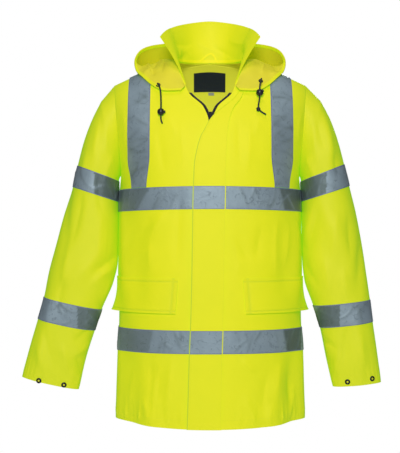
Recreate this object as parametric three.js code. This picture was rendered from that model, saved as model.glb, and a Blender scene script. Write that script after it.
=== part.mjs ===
import * as THREE from 'three';

// High-visibility work jacket, filled out and open at the neck, hem and cuffs.
// Sizes are in millimetres. X points to the wearer's left, Y to the back and Z up.
// The origin is the middle of the neck opening, at the height of the shoulder's neck points.

// Walls and gaps
const CLOTH = 1.8;
const TAPE = 0.9;
const LINING = 0.8;
const SEAM_GAP = 0.3;
const TAPE_LIFT = 0.3;
const BRACE_LIFT = 1.2;
const FLAP_LIFT = 1.6;

// Body section: the power of the superellipse, and the columns of cloth from centre line to side seam
const BODY_SQUARE = 2.3;
const BODY_COLUMNS = 10;

// Zip: each half is a strip along its front's free edge
const ZIP_STRIP = 4.05;
const ZIP_WALL = 1.3;

const table = (columns, rows) =>
  rows.map((row) => Object.fromEntries(row.map((value, index) => [columns[index], value])));

// Body rings, from the hem up. z and edgeZ are the heights at the centre line and at the side,
// open is the half width of the neck opening, depth is how far the ring stands from the side plane,
// edgeShare is the part of that depth left at the armhole, and ramp is how late the ring changes height.
const BODY_RING = ['z', 'open', 'depth', 'edgeShare', 'edgeX', 'edgeZ', 'ramp'];

const FRONT_RINGS = table(BODY_RING, [
  [-829, 4.5, 150, 0, 217, -818, 2],
  [-745, 4.5, 149.5, 0, 214.5, -740, 2],
  [-662.5, 4.5, 149, 0, 212, -664, 2],
  [-612, 4.5, 148.5, 0, 211, -612, 2],
  [-535, 4.5, 148, 0, 210.5, -535, 2],
  [-440, 4.5, 147, 0, 209.5, -441, 2],
  [-344.5, 4.5, 146, 0, 208, -349, 2],
  [-294.5, 4.5, 145, 0, 207.5, -299, 2],
  [-262, 4.5, 143.5, 0, 207, -265, 2],
  [-222, 4.5, 141, 0.18, 208, -238, 2],
  [-185, 4.5, 135.5, 0.36, 210.5, -196, 2],
  [-150, 4.5, 127, 0.46, 213.5, -150, 2],
  [-117, 15.5, 115, 0.5, 216.5, -110, 1.9],
  [-83, 48.5, 98, 0.43, 219.5, -79, 1.7],
  [-45, 62, 74, 0.324, 221, -64, 1.5],
  [-18, 71, 45, 0.267, 221.8, -57.5, 1.35],
  [-3, 74.4, 18, 0.333, 221.9, -56.25, 1.28],
  [2, 75, 0, 0, 222, -55, 1.25],
]);

const BACK_RINGS = table(BODY_RING, [
  [-822, 0, 150, 0, 217, -818, 2],
  [-742, 0, 149.5, 0, 214.5, -740, 2],
  [-662.5, 0, 149, 0, 212, -664, 2],
  [-612, 0, 148.5, 0, 211, -612, 2],
  [-535, 0, 148, 0, 210.5, -535, 2],
  [-440, 0, 147, 0, 209.5, -441, 2],
  [-344.5, 0, 146, 0, 208, -349, 2],
  [-294.5, 0, 145, 0, 207.5, -299, 2],
  [-262, 0, 144, 0, 207, -265, 2],
  [-225, 0, 142.5, 0.18, 208, -238, 2],
  [-185, 0, 140, 0.37, 210.5, -196, 2],
  [-145, 0, 135.5, 0.46, 213.5, -150, 2],
  [-105, 0, 128.5, 0.47, 216.5, -110, 1.9],
  [-65, 0, 118, 0.41, 219.5, -80, 1.8],
  [-28, 0, 102, 0.3, 221, -65, 1.7],
  [8, 0, 77, 0.2, 221.8, -57, 1.5],
  [7, 36, 69, 0.1674, 221.85, -56.5, 1.4],
  [4.5, 62, 42, 0.1833, 221.9, -56, 1.3],
  [2.5, 73, 15, 0.2567, 221.95, -55.5, 1.27],
  [2, 75, 0, 0, 222, -55, 1.25],
]);

// Ring numbers of the seams and tape edges
const LOWER_TAPE = [2, 3];
const CHEST_TAPE = [6, 7];
const UNDERARM = 8;
const V_TOP = 13;
const COLLAR_END = 13.5;
const BACK_NECK = 15;
const BACK_SHOULDER = 19;

// The rings where each panel has a row of points. The armhole rows also start the sleeves' columns.
const FRONT_ARMHOLE_ROWS = [17, 15, 14, 13, 12.3, 11.6, 10.9, 10.2, 9.6, 9, 8.5, 8];
const BACK_ARMHOLE_ROWS = [19, 15, 14, 13, 12.2, 11.4, 10.6, 9.8, 9.4, 9, 8.5, 8];
const LOWER_ROWS = [0, 0.5, 1, 1.5, 2, 3, 3.5, 4, 4.5, 5, 5.5, 6, 7];
const FRONT_ROWS = [...LOWER_ROWS, ...FRONT_ARMHOLE_ROWS, 11, COLLAR_END, 16].sort((a, b) => a - b);
const BACK_ROWS = [...LOWER_ROWS, ...BACK_ARMHOLE_ROWS, 16, 17, 18].sort((a, b) => a - b);

// Large soft folds of the body cloth. u is the place between centre line and side, drift is how far
// the fold leans by its lower end, top and bottom are heights, width is in u and height is the relief.
const FOLD = ['side', 'u', 'drift', 'top', 'bottom', 'width', 'height'];

const FRONT_FOLDS = table(FOLD, [
  [-1, 0.8, -0.1, -300, -560, 0.09, 6],
  [-1, 0.55, -0.05, -340, -600, 0.1, -4],
  [-1, 0.8, 0, -560, -900, 0.09, 7],
  [-1, 0.58, 0, -650, -900, 0.09, -5],
  [-1, 0.38, 0, -690, -900, 0.09, 4],
  [1, 0.8, -0.1, -300, -590, 0.09, 6],
  [1, 0.5, 0.05, -350, -560, 0.1, -4],
  [1, 0.8, 0, -560, -900, 0.09, 8],
  [1, 0.62, 0, -640, -900, 0.09, -6],
  [1, 0.42, 0, -680, -900, 0.09, 4.5],
]);

const BACK_FOLDS = table(FOLD, [
  [-1, 0.8, -0.1, -300, -600, 0.1, 7],
  [-1, 0.4, 0, -330, -620, 0.1, -5],
  [-1, 0.7, 0, -560, -900, 0.1, 8],
  [-1, 0.45, 0, -620, -900, 0.1, -5],
  [1, 0.78, -0.08, -300, -600, 0.1, 7],
  [1, 0.4, 0, -360, -650, 0.1, -5],
  [1, 0.78, 0, -580, -900, 0.1, 8],
  [1, 0.5, 0, -640, -900, 0.1, -5],
]);

// Sleeve rings from the armhole down. outer and inner are the ends of the ring seen from the front,
// y is its middle and half is half its depth. The first ring is just past the armhole seam.
const SLEEVE_RING = ['outerX', 'outerZ', 'innerX', 'innerZ', 'y', 'half'];

const SLEEVE_RINGS = {
  right: table(SLEEVE_RING, [
    [253, -93, 210, -268, 0, 69],
    [274.5, -137, 211.2, -271, 0, 75],
    [293, -188, 212, -274, 0, 78],
    [307, -242, 212.3, -278, 0, 78],
    [319, -291, 212.6, -326, 0, 77],
    [338, -354, 213, -389, -4, 74],
    [355, -421, 214, -461, -10, 70],
    [371.5, -486, 223, -509, -18, 64],
    [382, -544, 249.5, -573, -26, 56],
    [395, -593.5, 265, -621, -32, 50],
    [412, -655, 284.5, -684, -40, 42],
    [429.5, -725, 300, -754, -48, 30],
  ]),
  left: table(SLEEVE_RING, [
    [256.5, -91, 210, -268, 0, 69],
    [279, -135, 211.2, -271, 0, 75],
    [297, -186, 212, -274, 0, 78],
    [311, -239, 212.4, -278, 0, 78],
    [323, -289, 212.8, -325, 0, 77],
    [338.5, -354, 213.2, -387, -4, 74],
    [350, -417, 214, -456, -10, 70],
    [359, -484, 218, -504, -18, 64],
    [367.5, -550, 237.5, -564, -26, 56],
    [373, -600, 252.5, -614, -32, 50],
    [381.5, -666, 266, -684.5, -40, 42],
    [390, -737, 280, -747.5, -48, 30],
  ]),
};
const SLEEVE_SQUARE = 2.2;
const SLEEVE_ROWS = [0, 0.5, 1, 2, 3, 4, 5, 6, 7, 7.5, 8, 8.5, 9, 10, 11, 12];
const UPPER_BAND = [4, 5];
const LOWER_BAND = [9, 10];

// Sleeve folds. around is the place on the ring, 0 at the top and 0.25 in front, tilt is its change
// over one ring, at and length are in rings, width is in the same turn as around.
const SLEEVE_FOLD = ['around', 'tilt', 'at', 'length', 'width', 'height'];

const SLEEVE_FOLDS = {
  right: table(SLEEVE_FOLD, [
    [0.2, 0.03, 2.3, 1.6, 0.04, 4.5],
    [0.1, 0.05, 6.2, 1.3, 0.045, -5],
    [0.27, -0.06, 7.6, 1.2, 0.04, 5],
    [0.16, 0.02, 10.6, 1.8, 0.04, 4],
    [0.8, 0.04, 3, 2, 0.05, 5],
    [0.86, -0.05, 7.2, 1.5, 0.045, -5],
    [0.78, 0.03, 10.2, 1.8, 0.045, 4],
  ]),
  left: table(SLEEVE_FOLD, [
    [0.17, 0.03, 2.6, 1.5, 0.04, 4.5],
    [0.24, -0.05, 6.4, 1.4, 0.045, 5],
    [0.12, 0.05, 7.8, 1.2, 0.04, -5],
    [0.22, 0.02, 10.8, 1.6, 0.04, 4],
    [0.82, -0.04, 2.8, 2, 0.05, 5],
    [0.76, 0.05, 7, 1.5, 0.045, -5],
    [0.84, 0.02, 10.4, 1.8, 0.045, 4],
  ]),
};

// Collar: each row pairs a ring of the neck edge with the collar's top edge over it
const COLLAR_SECTION = ['ring', 'topX', 'topY', 'topZ', 'lean'];
const COLLAR_FRONT = table(COLLAR_SECTION, [
  [13.5, 115, -50, 50, 9],
  [14, 112, -38, 57, 8],
  [15, 106, -20, 67, 6],
  [17, 99, 0, 76, 5],
]);
const COLLAR_BACK = table(COLLAR_SECTION, [
  [18, 93, 18, 82, 4],
  [17, 77, 42, 92, 3],
  [16, 45, 73, 104, 2],
  [15, 0, 88, 111, 2],
]);
const COLLAR_STEPS = 5;
const COLLAR_LIFT = 0.6;

// Hood, thrown back: each section starts at a ring of the neck edge, lies on the shoulder or back,
// turns at its lowest place, rises along the outside and ends at the rim of the face opening.
const HOOD_SECTION = ['ring', 'lieX', 'lieY', 'lieZ', 'lowX', 'lowY', 'lowZ',
  'outX', 'outY', 'outZ', 'rimX', 'rimY', 'rimZ'];
const HOOD_FRONT = table(HOOD_SECTION, [
  [13.5, 57, -92, -69, 60, -94, -73, 63, -95, -77, 66, -95, -81],
  [14, 78, -84, -58, 88, -86, -66, 97, -88, -73, 107, -90, -80],
  [15, 92, -62, -35, 105, -68, -46, 117, -74, -57, 129, -80, -68],
  [16, 97, -30, -12, 116, -38, -22, 135, -48, -33, 153, -57, -45],
  [17, 101, 0, 3, 126, -2, -6, 150, -12, -15, 171, -26, -24],
]);
const HOOD_BACK = table(HOOD_SECTION, [
  [18, 105, 26, 10, 138, 44, -4, 164, 36, -8, 176, 6, 8],
  [17, 94, 86, 8, 134, 122, -46, 166, 96, -48, 161, 36, 36],
  [16, 56, 114, -14, 86, 162, -112, 124, 164, -78, 112, 78, 56],
  [15, 0, 118, -28, 0, 172, -148, 0, 196, -96, 0, 124, 62],
]);
const HOOD_STEPS = 9;
const HOOD_WALL = 1.6;
const HOOD_COLUMNS_PER_SECTION = 1.5;

// Storm flap: free edge and sewn edge, by ring of the front body
const FLAP_EDGE = ['ring', 'freeX', 'sewnX'];
const STORM_FLAP = table(FLAP_EDGE, [
  [0, -52, 23],
  [2.5, -46, 27],
  [5, -41, 31],
  [7, -38.5, 33.6],
  [8.4, -36.5, 34.5],
  [9.2, -31, 35.5],
  [10, -22.5, 37],
  [10.6, -11, 39],
  [11, -3.5, 41],
  [11.5, 10, 45],
  [12, 30, 53],
  [12.5, 50, 66],
  [13, 64, 74],
]);
const STORM_FLAP_COLUMNS = 4;

// Pocket flaps: inner edge, and how the lower edge stands off
const POCKET = {
  top: 4.42, bottom: 3.42, inner: 66, innerDrop: 6, outerColumn: 0.975, standOff: 2.2, corner: 9,
};
const POCKET_LIFT = 0.9;
const POCKET_ROWS = 4;

// Brace tapes over the shoulders, by distance from the centre line
const BRACE = {
  foot: 7.02, columns: 3, inner: 135, outer: 185, tuckInner: 142, tuckOuter: 176, tuckFrom: 9.2,
};

// Back neck lining, label, size tab and hanging loop
const NECK_LINING = { bottomRing: 11, halfColumns: 4 };
const LABEL = { half: 38.5, rows: [13.28, 14, 14.42], wall: 0.7, lift: 3.4 };
const SIZE_TAB = { left: -3, right: 11, rows: [13.06, 13.24] };
const LOOP = {
  left: -22, right: 15, apex: 3, foot: 0.03, top: 0.22, width: 4, wall: 1, gap: 0.5, steps: 10,
};

// Hood cord and its fittings
const CORD_RADIUS = 1.8;
const CORD_SIDES = 8;
const LOCK = {
  radius: 8.2, bore: 3.6, lip: 1.3, boreDepth: 9.4, plunger: 3.2, stand: 3.4, floor: 3.4, chamfer: 0.8,
  rings: 8,
};
const EYELET = { hole: 2.4, outer: 5.4, wall: 1.2 };
const KNOT = { radius: 4.6, half: 5.4, rings: 5, sides: 10, point: [106.3, -115, -122] };
const STUD = { radius: 6.2, wall: 2, dish: 3.6, dishDepth: 0.6 };

// Colours: hi-vis yellow cloth, its shaded inside, grey reflective tape and black fittings
const CLOTH_YELLOW = new THREE.MeshStandardMaterial({ color: 0xe3e619, roughness: 0.62, metalness: 0 });
const LINING_OCHRE = new THREE.MeshStandardMaterial({ color: 0xc3c232, roughness: 0.85, metalness: 0 });
const TAPE_GREY = new THREE.MeshStandardMaterial({ color: 0x97a3ab, roughness: 0.4, metalness: 0.15 });
const BLACK = new THREE.MeshStandardMaterial({ color: 0x0d0e10, roughness: 0.45, metalness: 0 });
const NAVY = new THREE.MeshStandardMaterial({ color: 0x14202c, roughness: 0.7, metalness: 0 });
const TAB_GREY = new THREE.MeshStandardMaterial({ color: 0xa9b0b4, roughness: 0.7, metalness: 0 });

const FRONT = { rings: FRONT_RINGS, folds: FRONT_FOLDS, turn: -1 };
const BACK = { rings: BACK_RINGS, folds: BACK_FOLDS, turn: 1 };
const SIDES = [
  { name: 'right', sign: -1 },
  { name: 'left', sign: 1 },
];

const jacket = new THREE.Group();
jacket.name = 'hi_vis_work_jacket';

function addPiece(name, geometry, material) {
  const mesh = new THREE.Mesh(geometry, material);
  mesh.name = name;
  jacket.add(mesh);
  return mesh;
}

// Smooth tables: a value between two rows keeps the direction of its neighbours and never overshoots

function evenSlope(before, here, after) {
  const down = here - before;
  const up = after - here;
  return down * up > 0 ? (2 * down * up) / (down + up) : 0;
}

function readTable(rows, place) {
  const last = rows.length - 1;
  const index = Math.min(Math.max(Math.floor(place), 0), last - 1);
  const f = place - index;
  const result = {};
  for (const key of Object.keys(rows[0])) {
    const from = rows[index][key];
    const to = rows[index + 1][key];
    const slopeFrom = index > 0 ? evenSlope(rows[index - 1][key], from, to) : to - from;
    const slopeTo = index + 2 <= last ? evenSlope(from, to, rows[index + 2][key]) : to - from;
    const blend = f * f * (3 - 2 * f);
    const ease = f * (1 - f);
    result[key] = from + (to - from) * blend + ease * ((1 - f) * slopeFrom - f * slopeTo);
  }
  return result;
}

// Reads a table whose first column is its place, such as a ring number
function readAt(rows, key, place) {
  let index = 0;
  while (index < rows.length - 2 && place > rows[index + 1][key]) index += 1;
  const f = (place - rows[index][key]) / (rows[index + 1][key] - rows[index][key]);
  return readTable(rows, index + f);
}

const smoothStep = (low, high, value) => {
  const f = Math.min(Math.max((value - low) / (high - low), 0), 1);
  return f * f * (3 - 2 * f);
};
const bell = (distance) => Math.exp(-distance * distance);
const sidePower = (value, square) => Math.sign(value) * Math.pow(Math.abs(value), 2 / square);

// The body's outer face

function ringAngles(ring) {
  const edge = Math.acos(Math.pow(Math.max(ring.edgeShare, 0), BODY_SQUARE / 2));
  const spread = ring.edgeX / Math.pow(Math.sin(edge), 2 / BODY_SQUARE);
  const start = Math.asin(Math.pow(Math.max(ring.open, 0) / spread, BODY_SQUARE / 2));
  return { start, edge, spread };
}

function bareBody(face, sign, u, place) {
  const ring = readTable(face.rings, place);
  const { start, edge, spread } = ringAngles(ring);
  const angle = Math.max(start + (edge - start) * u, 0);
  const x = spread * Math.pow(Math.sin(angle), 2 / BODY_SQUARE);
  const y = ring.depth * Math.pow(Math.max(Math.cos(angle), 0), 2 / BODY_SQUARE);
  const rise = Math.pow(Math.max((x - ring.open) / (ring.edgeX - ring.open), 0), ring.ramp);
  return new THREE.Vector3(sign * x, face.turn * y, ring.z + (ring.edgeZ - ring.z) * rise);
}

// The place between centre line and side of a point at a given distance from the centre line
function placeAcross(face, x, place) {
  const ring = readTable(face.rings, place);
  const { start, edge, spread } = ringAngles(ring);
  const angle = Math.asin(Math.min(Math.pow(Math.abs(x) / spread, BODY_SQUARE / 2), 1));
  return (angle - start) / (edge - start);
}

// The normal of a surface, by small steps that stay inside its range
const STEP = 0.002;
function normalOf(surface, a, b, outward) {
  const aHigh = Math.min(a + STEP, surface.aMax ?? Infinity);
  const bHigh = Math.min(b + STEP, surface.bMax ?? Infinity);
  const aLow = Math.max(aHigh - 2 * STEP, surface.aMin ?? -Infinity);
  const bLow = Math.max(bHigh - 2 * STEP, surface.bMin ?? -Infinity);
  const alongA = surface(aHigh, b).sub(surface(aLow, b));
  const alongB = surface(a, bHigh).sub(surface(a, bLow));
  const normal = alongA.cross(alongB).normalize();
  return normal.dot(outward) < 0 ? normal.negate() : normal;
}

function foldRelief(face, sign, u, height) {
  let relief = 0;
  for (const fold of face.folds) {
    if (fold.side !== sign) continue;
    const along = (fold.top - height) / (fold.top - fold.bottom);
    const crest = fold.u + fold.drift * along;
    const ends = smoothStep(0, 0.3, along) * (1 - smoothStep(0.7, 1, along));
    relief += fold.height * ends * bell((u - crest) / fold.width);
  }
  return relief * smoothStep(0.16, 0.3, u) * (1 - smoothStep(0.9, 1, u));
}

function bodySurface(face, sign) {
  const bare = (u, place) => bareBody(face, sign, u, place);
  bare.aMax = 1;
  bare.bMax = face.rings.length - 1;
  const surface = (u, place) => {
    const point = bare(u, place);
    const relief = foldRelief(face, sign, u, point.z);
    if (Math.abs(relief) < 0.01) return point;
    return point.addScaledVector(normalOf(bare, u, place, outwardOf(face, point)), relief);
  };
  surface.aMax = bare.aMax;
  surface.bMax = bare.bMax;
  return surface;
}

function outwardOf(face, point) {
  return new THREE.Vector3(point.x, 2 * point.y + 0.2 * face.turn, 60);
}

const SURFACES = new Map();
function bodyAt(face, sign, u, place) {
  const key = `${face.turn}/${sign}`;
  if (!SURFACES.has(key)) SURFACES.set(key, bodySurface(face, sign));
  const surface = SURFACES.get(key);
  const point = surface(u, place);
  return { point, normal: normalOf(surface, u, place, outwardOf(face, point)) };
}

function bodyAtX(face, x, place) {
  const sign = x < 0 ? -1 : 1;
  return bodyAt(face, sign, placeAcross(face, x, place), place);
}

// A sheet of cloth: quads over shared points, thickened along their normals into a closed wall

class Sheet {
  constructor() {
    this.points = [];
    this.normals = [];
    this.lows = [];
    this.highs = [];
    this.quads = [];
    this.keys = new Map();
  }

  point(key, spot, low, high) {
    if (this.keys.has(key)) return this.keys.get(key);
    const id = this.points.length;
    this.keys.set(key, id);
    this.points.push(spot.point);
    this.normals.push(spot.normal);
    this.lows.push(low);
    this.highs.push(high);
    return id;
  }

  quad(a, b, c, d) {
    this.quads.push([a, b, c, d]);
  }

  // Turns every quad over if most of them face against the normals
  faceOutward() {
    let agreement = 0;
    for (const [a, b, c, d] of this.quads) {
      const across = this.points[c].clone().sub(this.points[a]);
      const facing = across.cross(this.points[d].clone().sub(this.points[b]));
      agreement += facing.dot(this.normals[a].clone().add(this.normals[c]));
    }
    if (agreement < 0) this.quads.forEach((quad) => quad.reverse());
  }

  geometry() {
    this.faceOutward();
    const positions = [];
    this.points.forEach((point, id) => {
      positions.push(...point.clone().addScaledVector(this.normals[id], this.highs[id]));
      positions.push(...point.clone().addScaledVector(this.normals[id], this.lows[id]));
    });
    const faces = [];
    const edges = new Map();
    for (const quad of this.quads) {
      const [a, b, c, d] = quad;
      faces.push([2 * a, 2 * b, 2 * c], [2 * a, 2 * c, 2 * d]);
      faces.push([2 * a + 1, 2 * c + 1, 2 * b + 1], [2 * a + 1, 2 * d + 1, 2 * c + 1]);
      quad.forEach((from, index) => {
        const to = quad[(index + 1) % 4];
        edges.set(`${from}/${to}`, [from, to]);
      });
    }
    for (const [from, to] of edges.values()) {
      if (edges.has(`${to}/${from}`)) continue;
      faces.push([2 * to, 2 * from, 2 * from + 1], [2 * to, 2 * from + 1, 2 * to + 1]);
    }
    const geometry = new THREE.BufferGeometry();
    geometry.setAttribute('position', new THREE.Float32BufferAttribute(positions, 3));
    geometry.setIndex(faces.flat());
    geometry.computeVertexNormals();
    return geometry;
  }
}

// A rectangular sheet over rows and columns; wrap joins its last column to its first
function gridSheet(rows, columns, spotAt, low, high, wrap = false) {
  const sheet = new Sheet();
  const ids = rows.map((row, i) => columns.map((column, j) => {
    const spot = spotAt(row, column, i, j);
    return sheet.point(`${i}/${j}`, spot, spot.low ?? low, spot.high ?? high);
  }));
  for (let i = 0; i + 1 < rows.length; i += 1) {
    for (let j = 0; j + (wrap ? 0 : 1) < columns.length; j += 1) {
      const next = (j + 1) % columns.length;
      sheet.quad(ids[i][j], ids[i][next], ids[i + 1][next], ids[i + 1][j]);
    }
  }
  return sheet.geometry();
}

const evenSteps = (count, from = 0, to = 1) =>
  Array.from({ length: count + 1 }, (_, index) => from + ((to - from) * index) / count);

// Moves a seam point a little back into its own piece
function setBack(spot, neighbour, distance = SEAM_GAP / 2) {
  const step = neighbour.clone().sub(spot.point).setLength(distance);
  return { ...spot, point: spot.point.clone().add(step) };
}

const COLUMNS = evenSteps(BODY_COLUMNS);
const LAST_STEP = 1 / BODY_COLUMNS;

function panelSpot(face, sign, u, place) {
  const shoulder = face.rings.length - 1;
  let spot = bodyAt(face, sign, u, place);
  if (u === 1) spot = setBack(spot, bodyAt(face, sign, u - LAST_STEP, place).point);
  if (place === shoulder) {
    spot = setBack(spot, bodyAt(face, sign, u, place - 1).point);
    spot.normal = spot.normal.clone().setY(0).normalize();
  }
  return spot;
}

function frontPanel(side) {
  const spotAt = (place, u) => panelSpot(FRONT, side.sign, u, place);
  return gridSheet(FRONT_ROWS, COLUMNS, spotAt, -CLOTH, 0);
}

// The back is one piece: its two halves share the centre line below the neck
function backPanel() {
  const sheet = new Sheet();
  for (const side of SIDES) {
    const ids = BACK_ROWS.map((place) => COLUMNS.map((u) => {
      const shared = u === 0 && place <= BACK_NECK;
      const key = shared ? `centre/${place}` : `${side.sign}/${place}/${u}`;
      return sheet.point(key, panelSpot(BACK, side.sign, u, place), -CLOTH, 0);
    }));
    for (let i = 0; i + 1 < ids.length; i += 1) {
      for (let j = 0; j < BODY_COLUMNS; j += 1) {
        const quad = [ids[i][j], ids[i][j + 1], ids[i + 1][j + 1], ids[i + 1][j]];
        sheet.quad(...(side.sign < 0 ? quad.reverse() : quad));
      }
    }
  }
  return sheet.geometry();
}

for (const side of SIDES) addPiece(`front_${side.name}`, frontPanel(side), CLOTH_YELLOW);
addPiece('back', backPanel(), CLOTH_YELLOW);

// Sleeves: the first row follows the armhole, point for point, and the rest are rings down the arm

const HALF_TURN = FRONT_ARMHOLE_ROWS.length - 1;
const SLEEVE_STEPS = evenSteps(2 * HALF_TURN);
const SLEEVE_COLUMNS = SLEEVE_STEPS.slice(0, -1);

function armhole(sign, around) {
  const inFront = around <= 0.5;
  const rows = inFront ? FRONT_ARMHOLE_ROWS : BACK_ARMHOLE_ROWS;
  const along = (inFront ? around : 1 - around) * 2 * HALF_TURN;
  const index = Math.min(Math.floor(along + 1e-9), HALF_TURN - 1);
  const place = rows[index] + (rows[index + 1] - rows[index]) * (along - index);
  return bodyAt(inFront ? FRONT : BACK, sign, 1, place);
}

function sleeveRing(side, place, around) {
  const ring = readTable(SLEEVE_RINGS[side.name], place);
  const angle = 2 * Math.PI * around;
  const along = sidePower(Math.cos(angle), SLEEVE_SQUARE);
  const x = (ring.outerX + ring.innerX) / 2 + ((ring.outerX - ring.innerX) / 2) * along;
  const z = (ring.outerZ + ring.innerZ) / 2 + ((ring.outerZ - ring.innerZ) / 2) * along;
  const y = ring.y - ring.half * sidePower(Math.sin(angle), SLEEVE_SQUARE);
  return new THREE.Vector3(side.sign * x, y, z);
}

function sleeveRelief(side, around, place) {
  let relief = 0;
  for (const fold of SLEEVE_FOLDS[side.name]) {
    const along = (place - fold.at) / fold.length;
    const crest = fold.around + fold.tilt * (place - fold.at);
    relief += fold.height * bell(along * 1.4) * bell((around - crest) / fold.width);
  }
  const free = Math.abs(((around + 0.5) % 1) - 0.5) < 0.36 ? 1 : 0;
  return relief * smoothStep(0.6, 1.6, place) * free;
}

function sleeveSurface(side) {
  const bare = (around, place) => {
    if (place >= 1) return sleeveRing(side, place - 1, around);
    return armhole(side.sign, ((around % 1) + 1) % 1).point.lerp(sleeveRing(side, 0, around), place);
  };
  bare.bMax = 12;
  const surface = (around, place) => {
    const point = bare(around, place);
    const relief = sleeveRelief(side, around, place);
    if (Math.abs(relief) < 0.01) return point;
    return point.addScaledVector(normalOf(bare, around, place, sleeveOutward(side, point, place)), relief);
  };
  surface.bMax = bare.bMax;
  return surface;
}

function sleeveOutward(side, point, place) {
  const ring = readTable(SLEEVE_RINGS[side.name], Math.max(place - 1, 0));
  const middle = new THREE.Vector3(
    side.sign * (ring.outerX + ring.innerX) / 2, ring.y, (ring.outerZ + ring.innerZ) / 2);
  return point.clone().sub(middle);
}

function sleeveSpot(side, around, place) {
  const surface = sleeveSurface(side);
  const point = surface(around, place);
  if (place === 0) {
    const seam = armhole(side.sign, around);
    return setBack(seam, surface(around, 0.5));
  }
  return { point, normal: normalOf(surface, around, place, sleeveOutward(side, point, place)) };
}

// Each sleeve is cut as a front and a back half, with a seam along the top and one along the underarm.
// The wall turns sharply beside the armhole, so the seam opens a little there.
const ARMHOLE_END_GAP = 1.4;
function sleeveHalf(side, columns) {
  const seams = { [columns[0]]: columns[1], [columns.at(-1)]: columns.at(-2) };
  const spotAt = (place, around) => {
    const spot = sleeveSpot(side, around % 1, place);
    if (!(around in seams)) return spot;
    const distance = place < 1 ? ARMHOLE_END_GAP : SEAM_GAP / 2;
    return setBack(spot, sleeveSpot(side, seams[around], place).point, distance);
  };
  return gridSheet(SLEEVE_ROWS, columns, spotAt, -CLOTH, 0);
}

for (const side of SIDES) {
  const frontHalf = sleeveHalf(side, SLEEVE_STEPS.slice(0, HALF_TURN + 1));
  const backHalf = sleeveHalf(side, SLEEVE_STEPS.slice(HALF_TURN));
  addPiece(`sleeve_front_${side.name}`, frontHalf, CLOTH_YELLOW);
  addPiece(`sleeve_back_${side.name}`, backHalf, CLOTH_YELLOW);
  const spotAt = (place, around) => sleeveSpot(side, around, place);
  const bands = { upper: UPPER_BAND, lower: LOWER_BAND };
  for (const [name, rows] of Object.entries(bands)) {
    const band = gridSheet(rows, SLEEVE_COLUMNS, spotAt, TAPE_LIFT, TAPE_LIFT + TAPE, true);
    addPiece(`sleeve_tape_${name}_${side.name}`, band, TAPE_GREY);
  }
}

// Tape round the chest and round the lower body
for (const [name, rows] of Object.entries({ chest: CHEST_TAPE, lower: LOWER_TAPE })) {
  for (const side of SIDES) {
    const spotAt = (place, u) => panelSpot(FRONT, side.sign, u, place);
    const tape = gridSheet(rows, COLUMNS, spotAt, TAPE_LIFT, TAPE_LIFT + TAPE);
    addPiece(`${name}_tape_front_${side.name}`, tape, TAPE_GREY);
  }
  const across = [...COLUMNS.slice(1).map((u) => -u).reverse(), ...COLUMNS];
  const spotAt = (place, u) => panelSpot(BACK, u < 0 ? -1 : 1, Math.abs(u), place);
  addPiece(`${name}_tape_back`, gridSheet(rows, across, spotAt, TAPE_LIFT, TAPE_LIFT + TAPE), TAPE_GREY);
}

// Storm flap over the zip, with its own lengths of tape
const flapRows = FRONT_ROWS.filter((place) => place <= V_TOP);
const flapX = (place, f) => {
  const edge = readAt(STORM_FLAP, 'ring', place);
  return edge.freeX + (edge.sewnX - edge.freeX) * f;
};
const flapSpot = (place, f) => bodyAtX(FRONT, flapX(place, f), place);
const flapColumns = evenSteps(STORM_FLAP_COLUMNS);
const stormFlap = gridSheet(flapRows, flapColumns, flapSpot, FLAP_LIFT, FLAP_LIFT + CLOTH);
addPiece('storm_flap', stormFlap, CLOTH_YELLOW);

const FLAP_TAPE_LIFT = FLAP_LIFT + CLOTH + TAPE_LIFT;
for (const [name, rows] of Object.entries({ chest: CHEST_TAPE, lower: LOWER_TAPE })) {
  const tape = gridSheet(rows, flapColumns, flapSpot, FLAP_TAPE_LIFT, FLAP_TAPE_LIFT + TAPE);
  addPiece(`${name}_tape_flap`, tape, TAPE_GREY);
}

// Zip: a strip beside each front's free edge, and the slider at the foot of the V
for (const side of SIDES) {
  const rows = FRONT_ROWS.filter((place) => place <= V_TOP);
  const spotAt = (place, f) => {
    const edge = readTable(FRONT_RINGS, place).open - SEAM_GAP;
    const x = side.sign * (edge - ZIP_STRIP * (1 - f));
    return bodyAtX(FRONT, x, place);
  };
  addPiece(`zip_tape_${side.name}`, gridSheet(rows, [0, 1], spotAt, -ZIP_WALL - SEAM_GAP, -SEAM_GAP), BLACK);
}

// The slider's plates are seen along its width; the post joins them at the top
const SLIDER = { ring: 11.42, x: 0.01, width: 6.4, length: 16, plate: 1, post: 3, gap: 2.1 };
function zipSlider() {
  const half = SLIDER.gap / 2;
  const outline = new THREE.Shape([
    new THREE.Vector2(half + SLIDER.plate, -SLIDER.length / 2),
    new THREE.Vector2(half + SLIDER.plate, SLIDER.length / 2),
    new THREE.Vector2(-half - SLIDER.plate, SLIDER.length / 2),
    new THREE.Vector2(-half - SLIDER.plate, -SLIDER.length / 2),
    new THREE.Vector2(-half, -SLIDER.length / 2),
    new THREE.Vector2(-half, SLIDER.length / 2 - SLIDER.post),
    new THREE.Vector2(half, SLIDER.length / 2 - SLIDER.post),
    new THREE.Vector2(half, -SLIDER.length / 2),
  ]);
  const geometry = new THREE.ExtrudeGeometry(outline, { depth: SLIDER.width, bevelEnabled: false });
  return geometry.translate(0, 0, -SLIDER.width / 2);
}

// Sets a piece on a spot: its own X axis along the normal, its Y axis as near to upright as that allows
function setOnSpot(mesh, spot, lift, up = new THREE.Vector3(0, 0, 1)) {
  const x = spot.normal.clone().normalize();
  const z = x.clone().cross(up).normalize();
  const y = z.clone().cross(x);
  mesh.quaternion.setFromRotationMatrix(new THREE.Matrix4().makeBasis(x, y, z));
  mesh.position.copy(spot.point.clone().addScaledVector(x, lift));
  return mesh;
}

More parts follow.
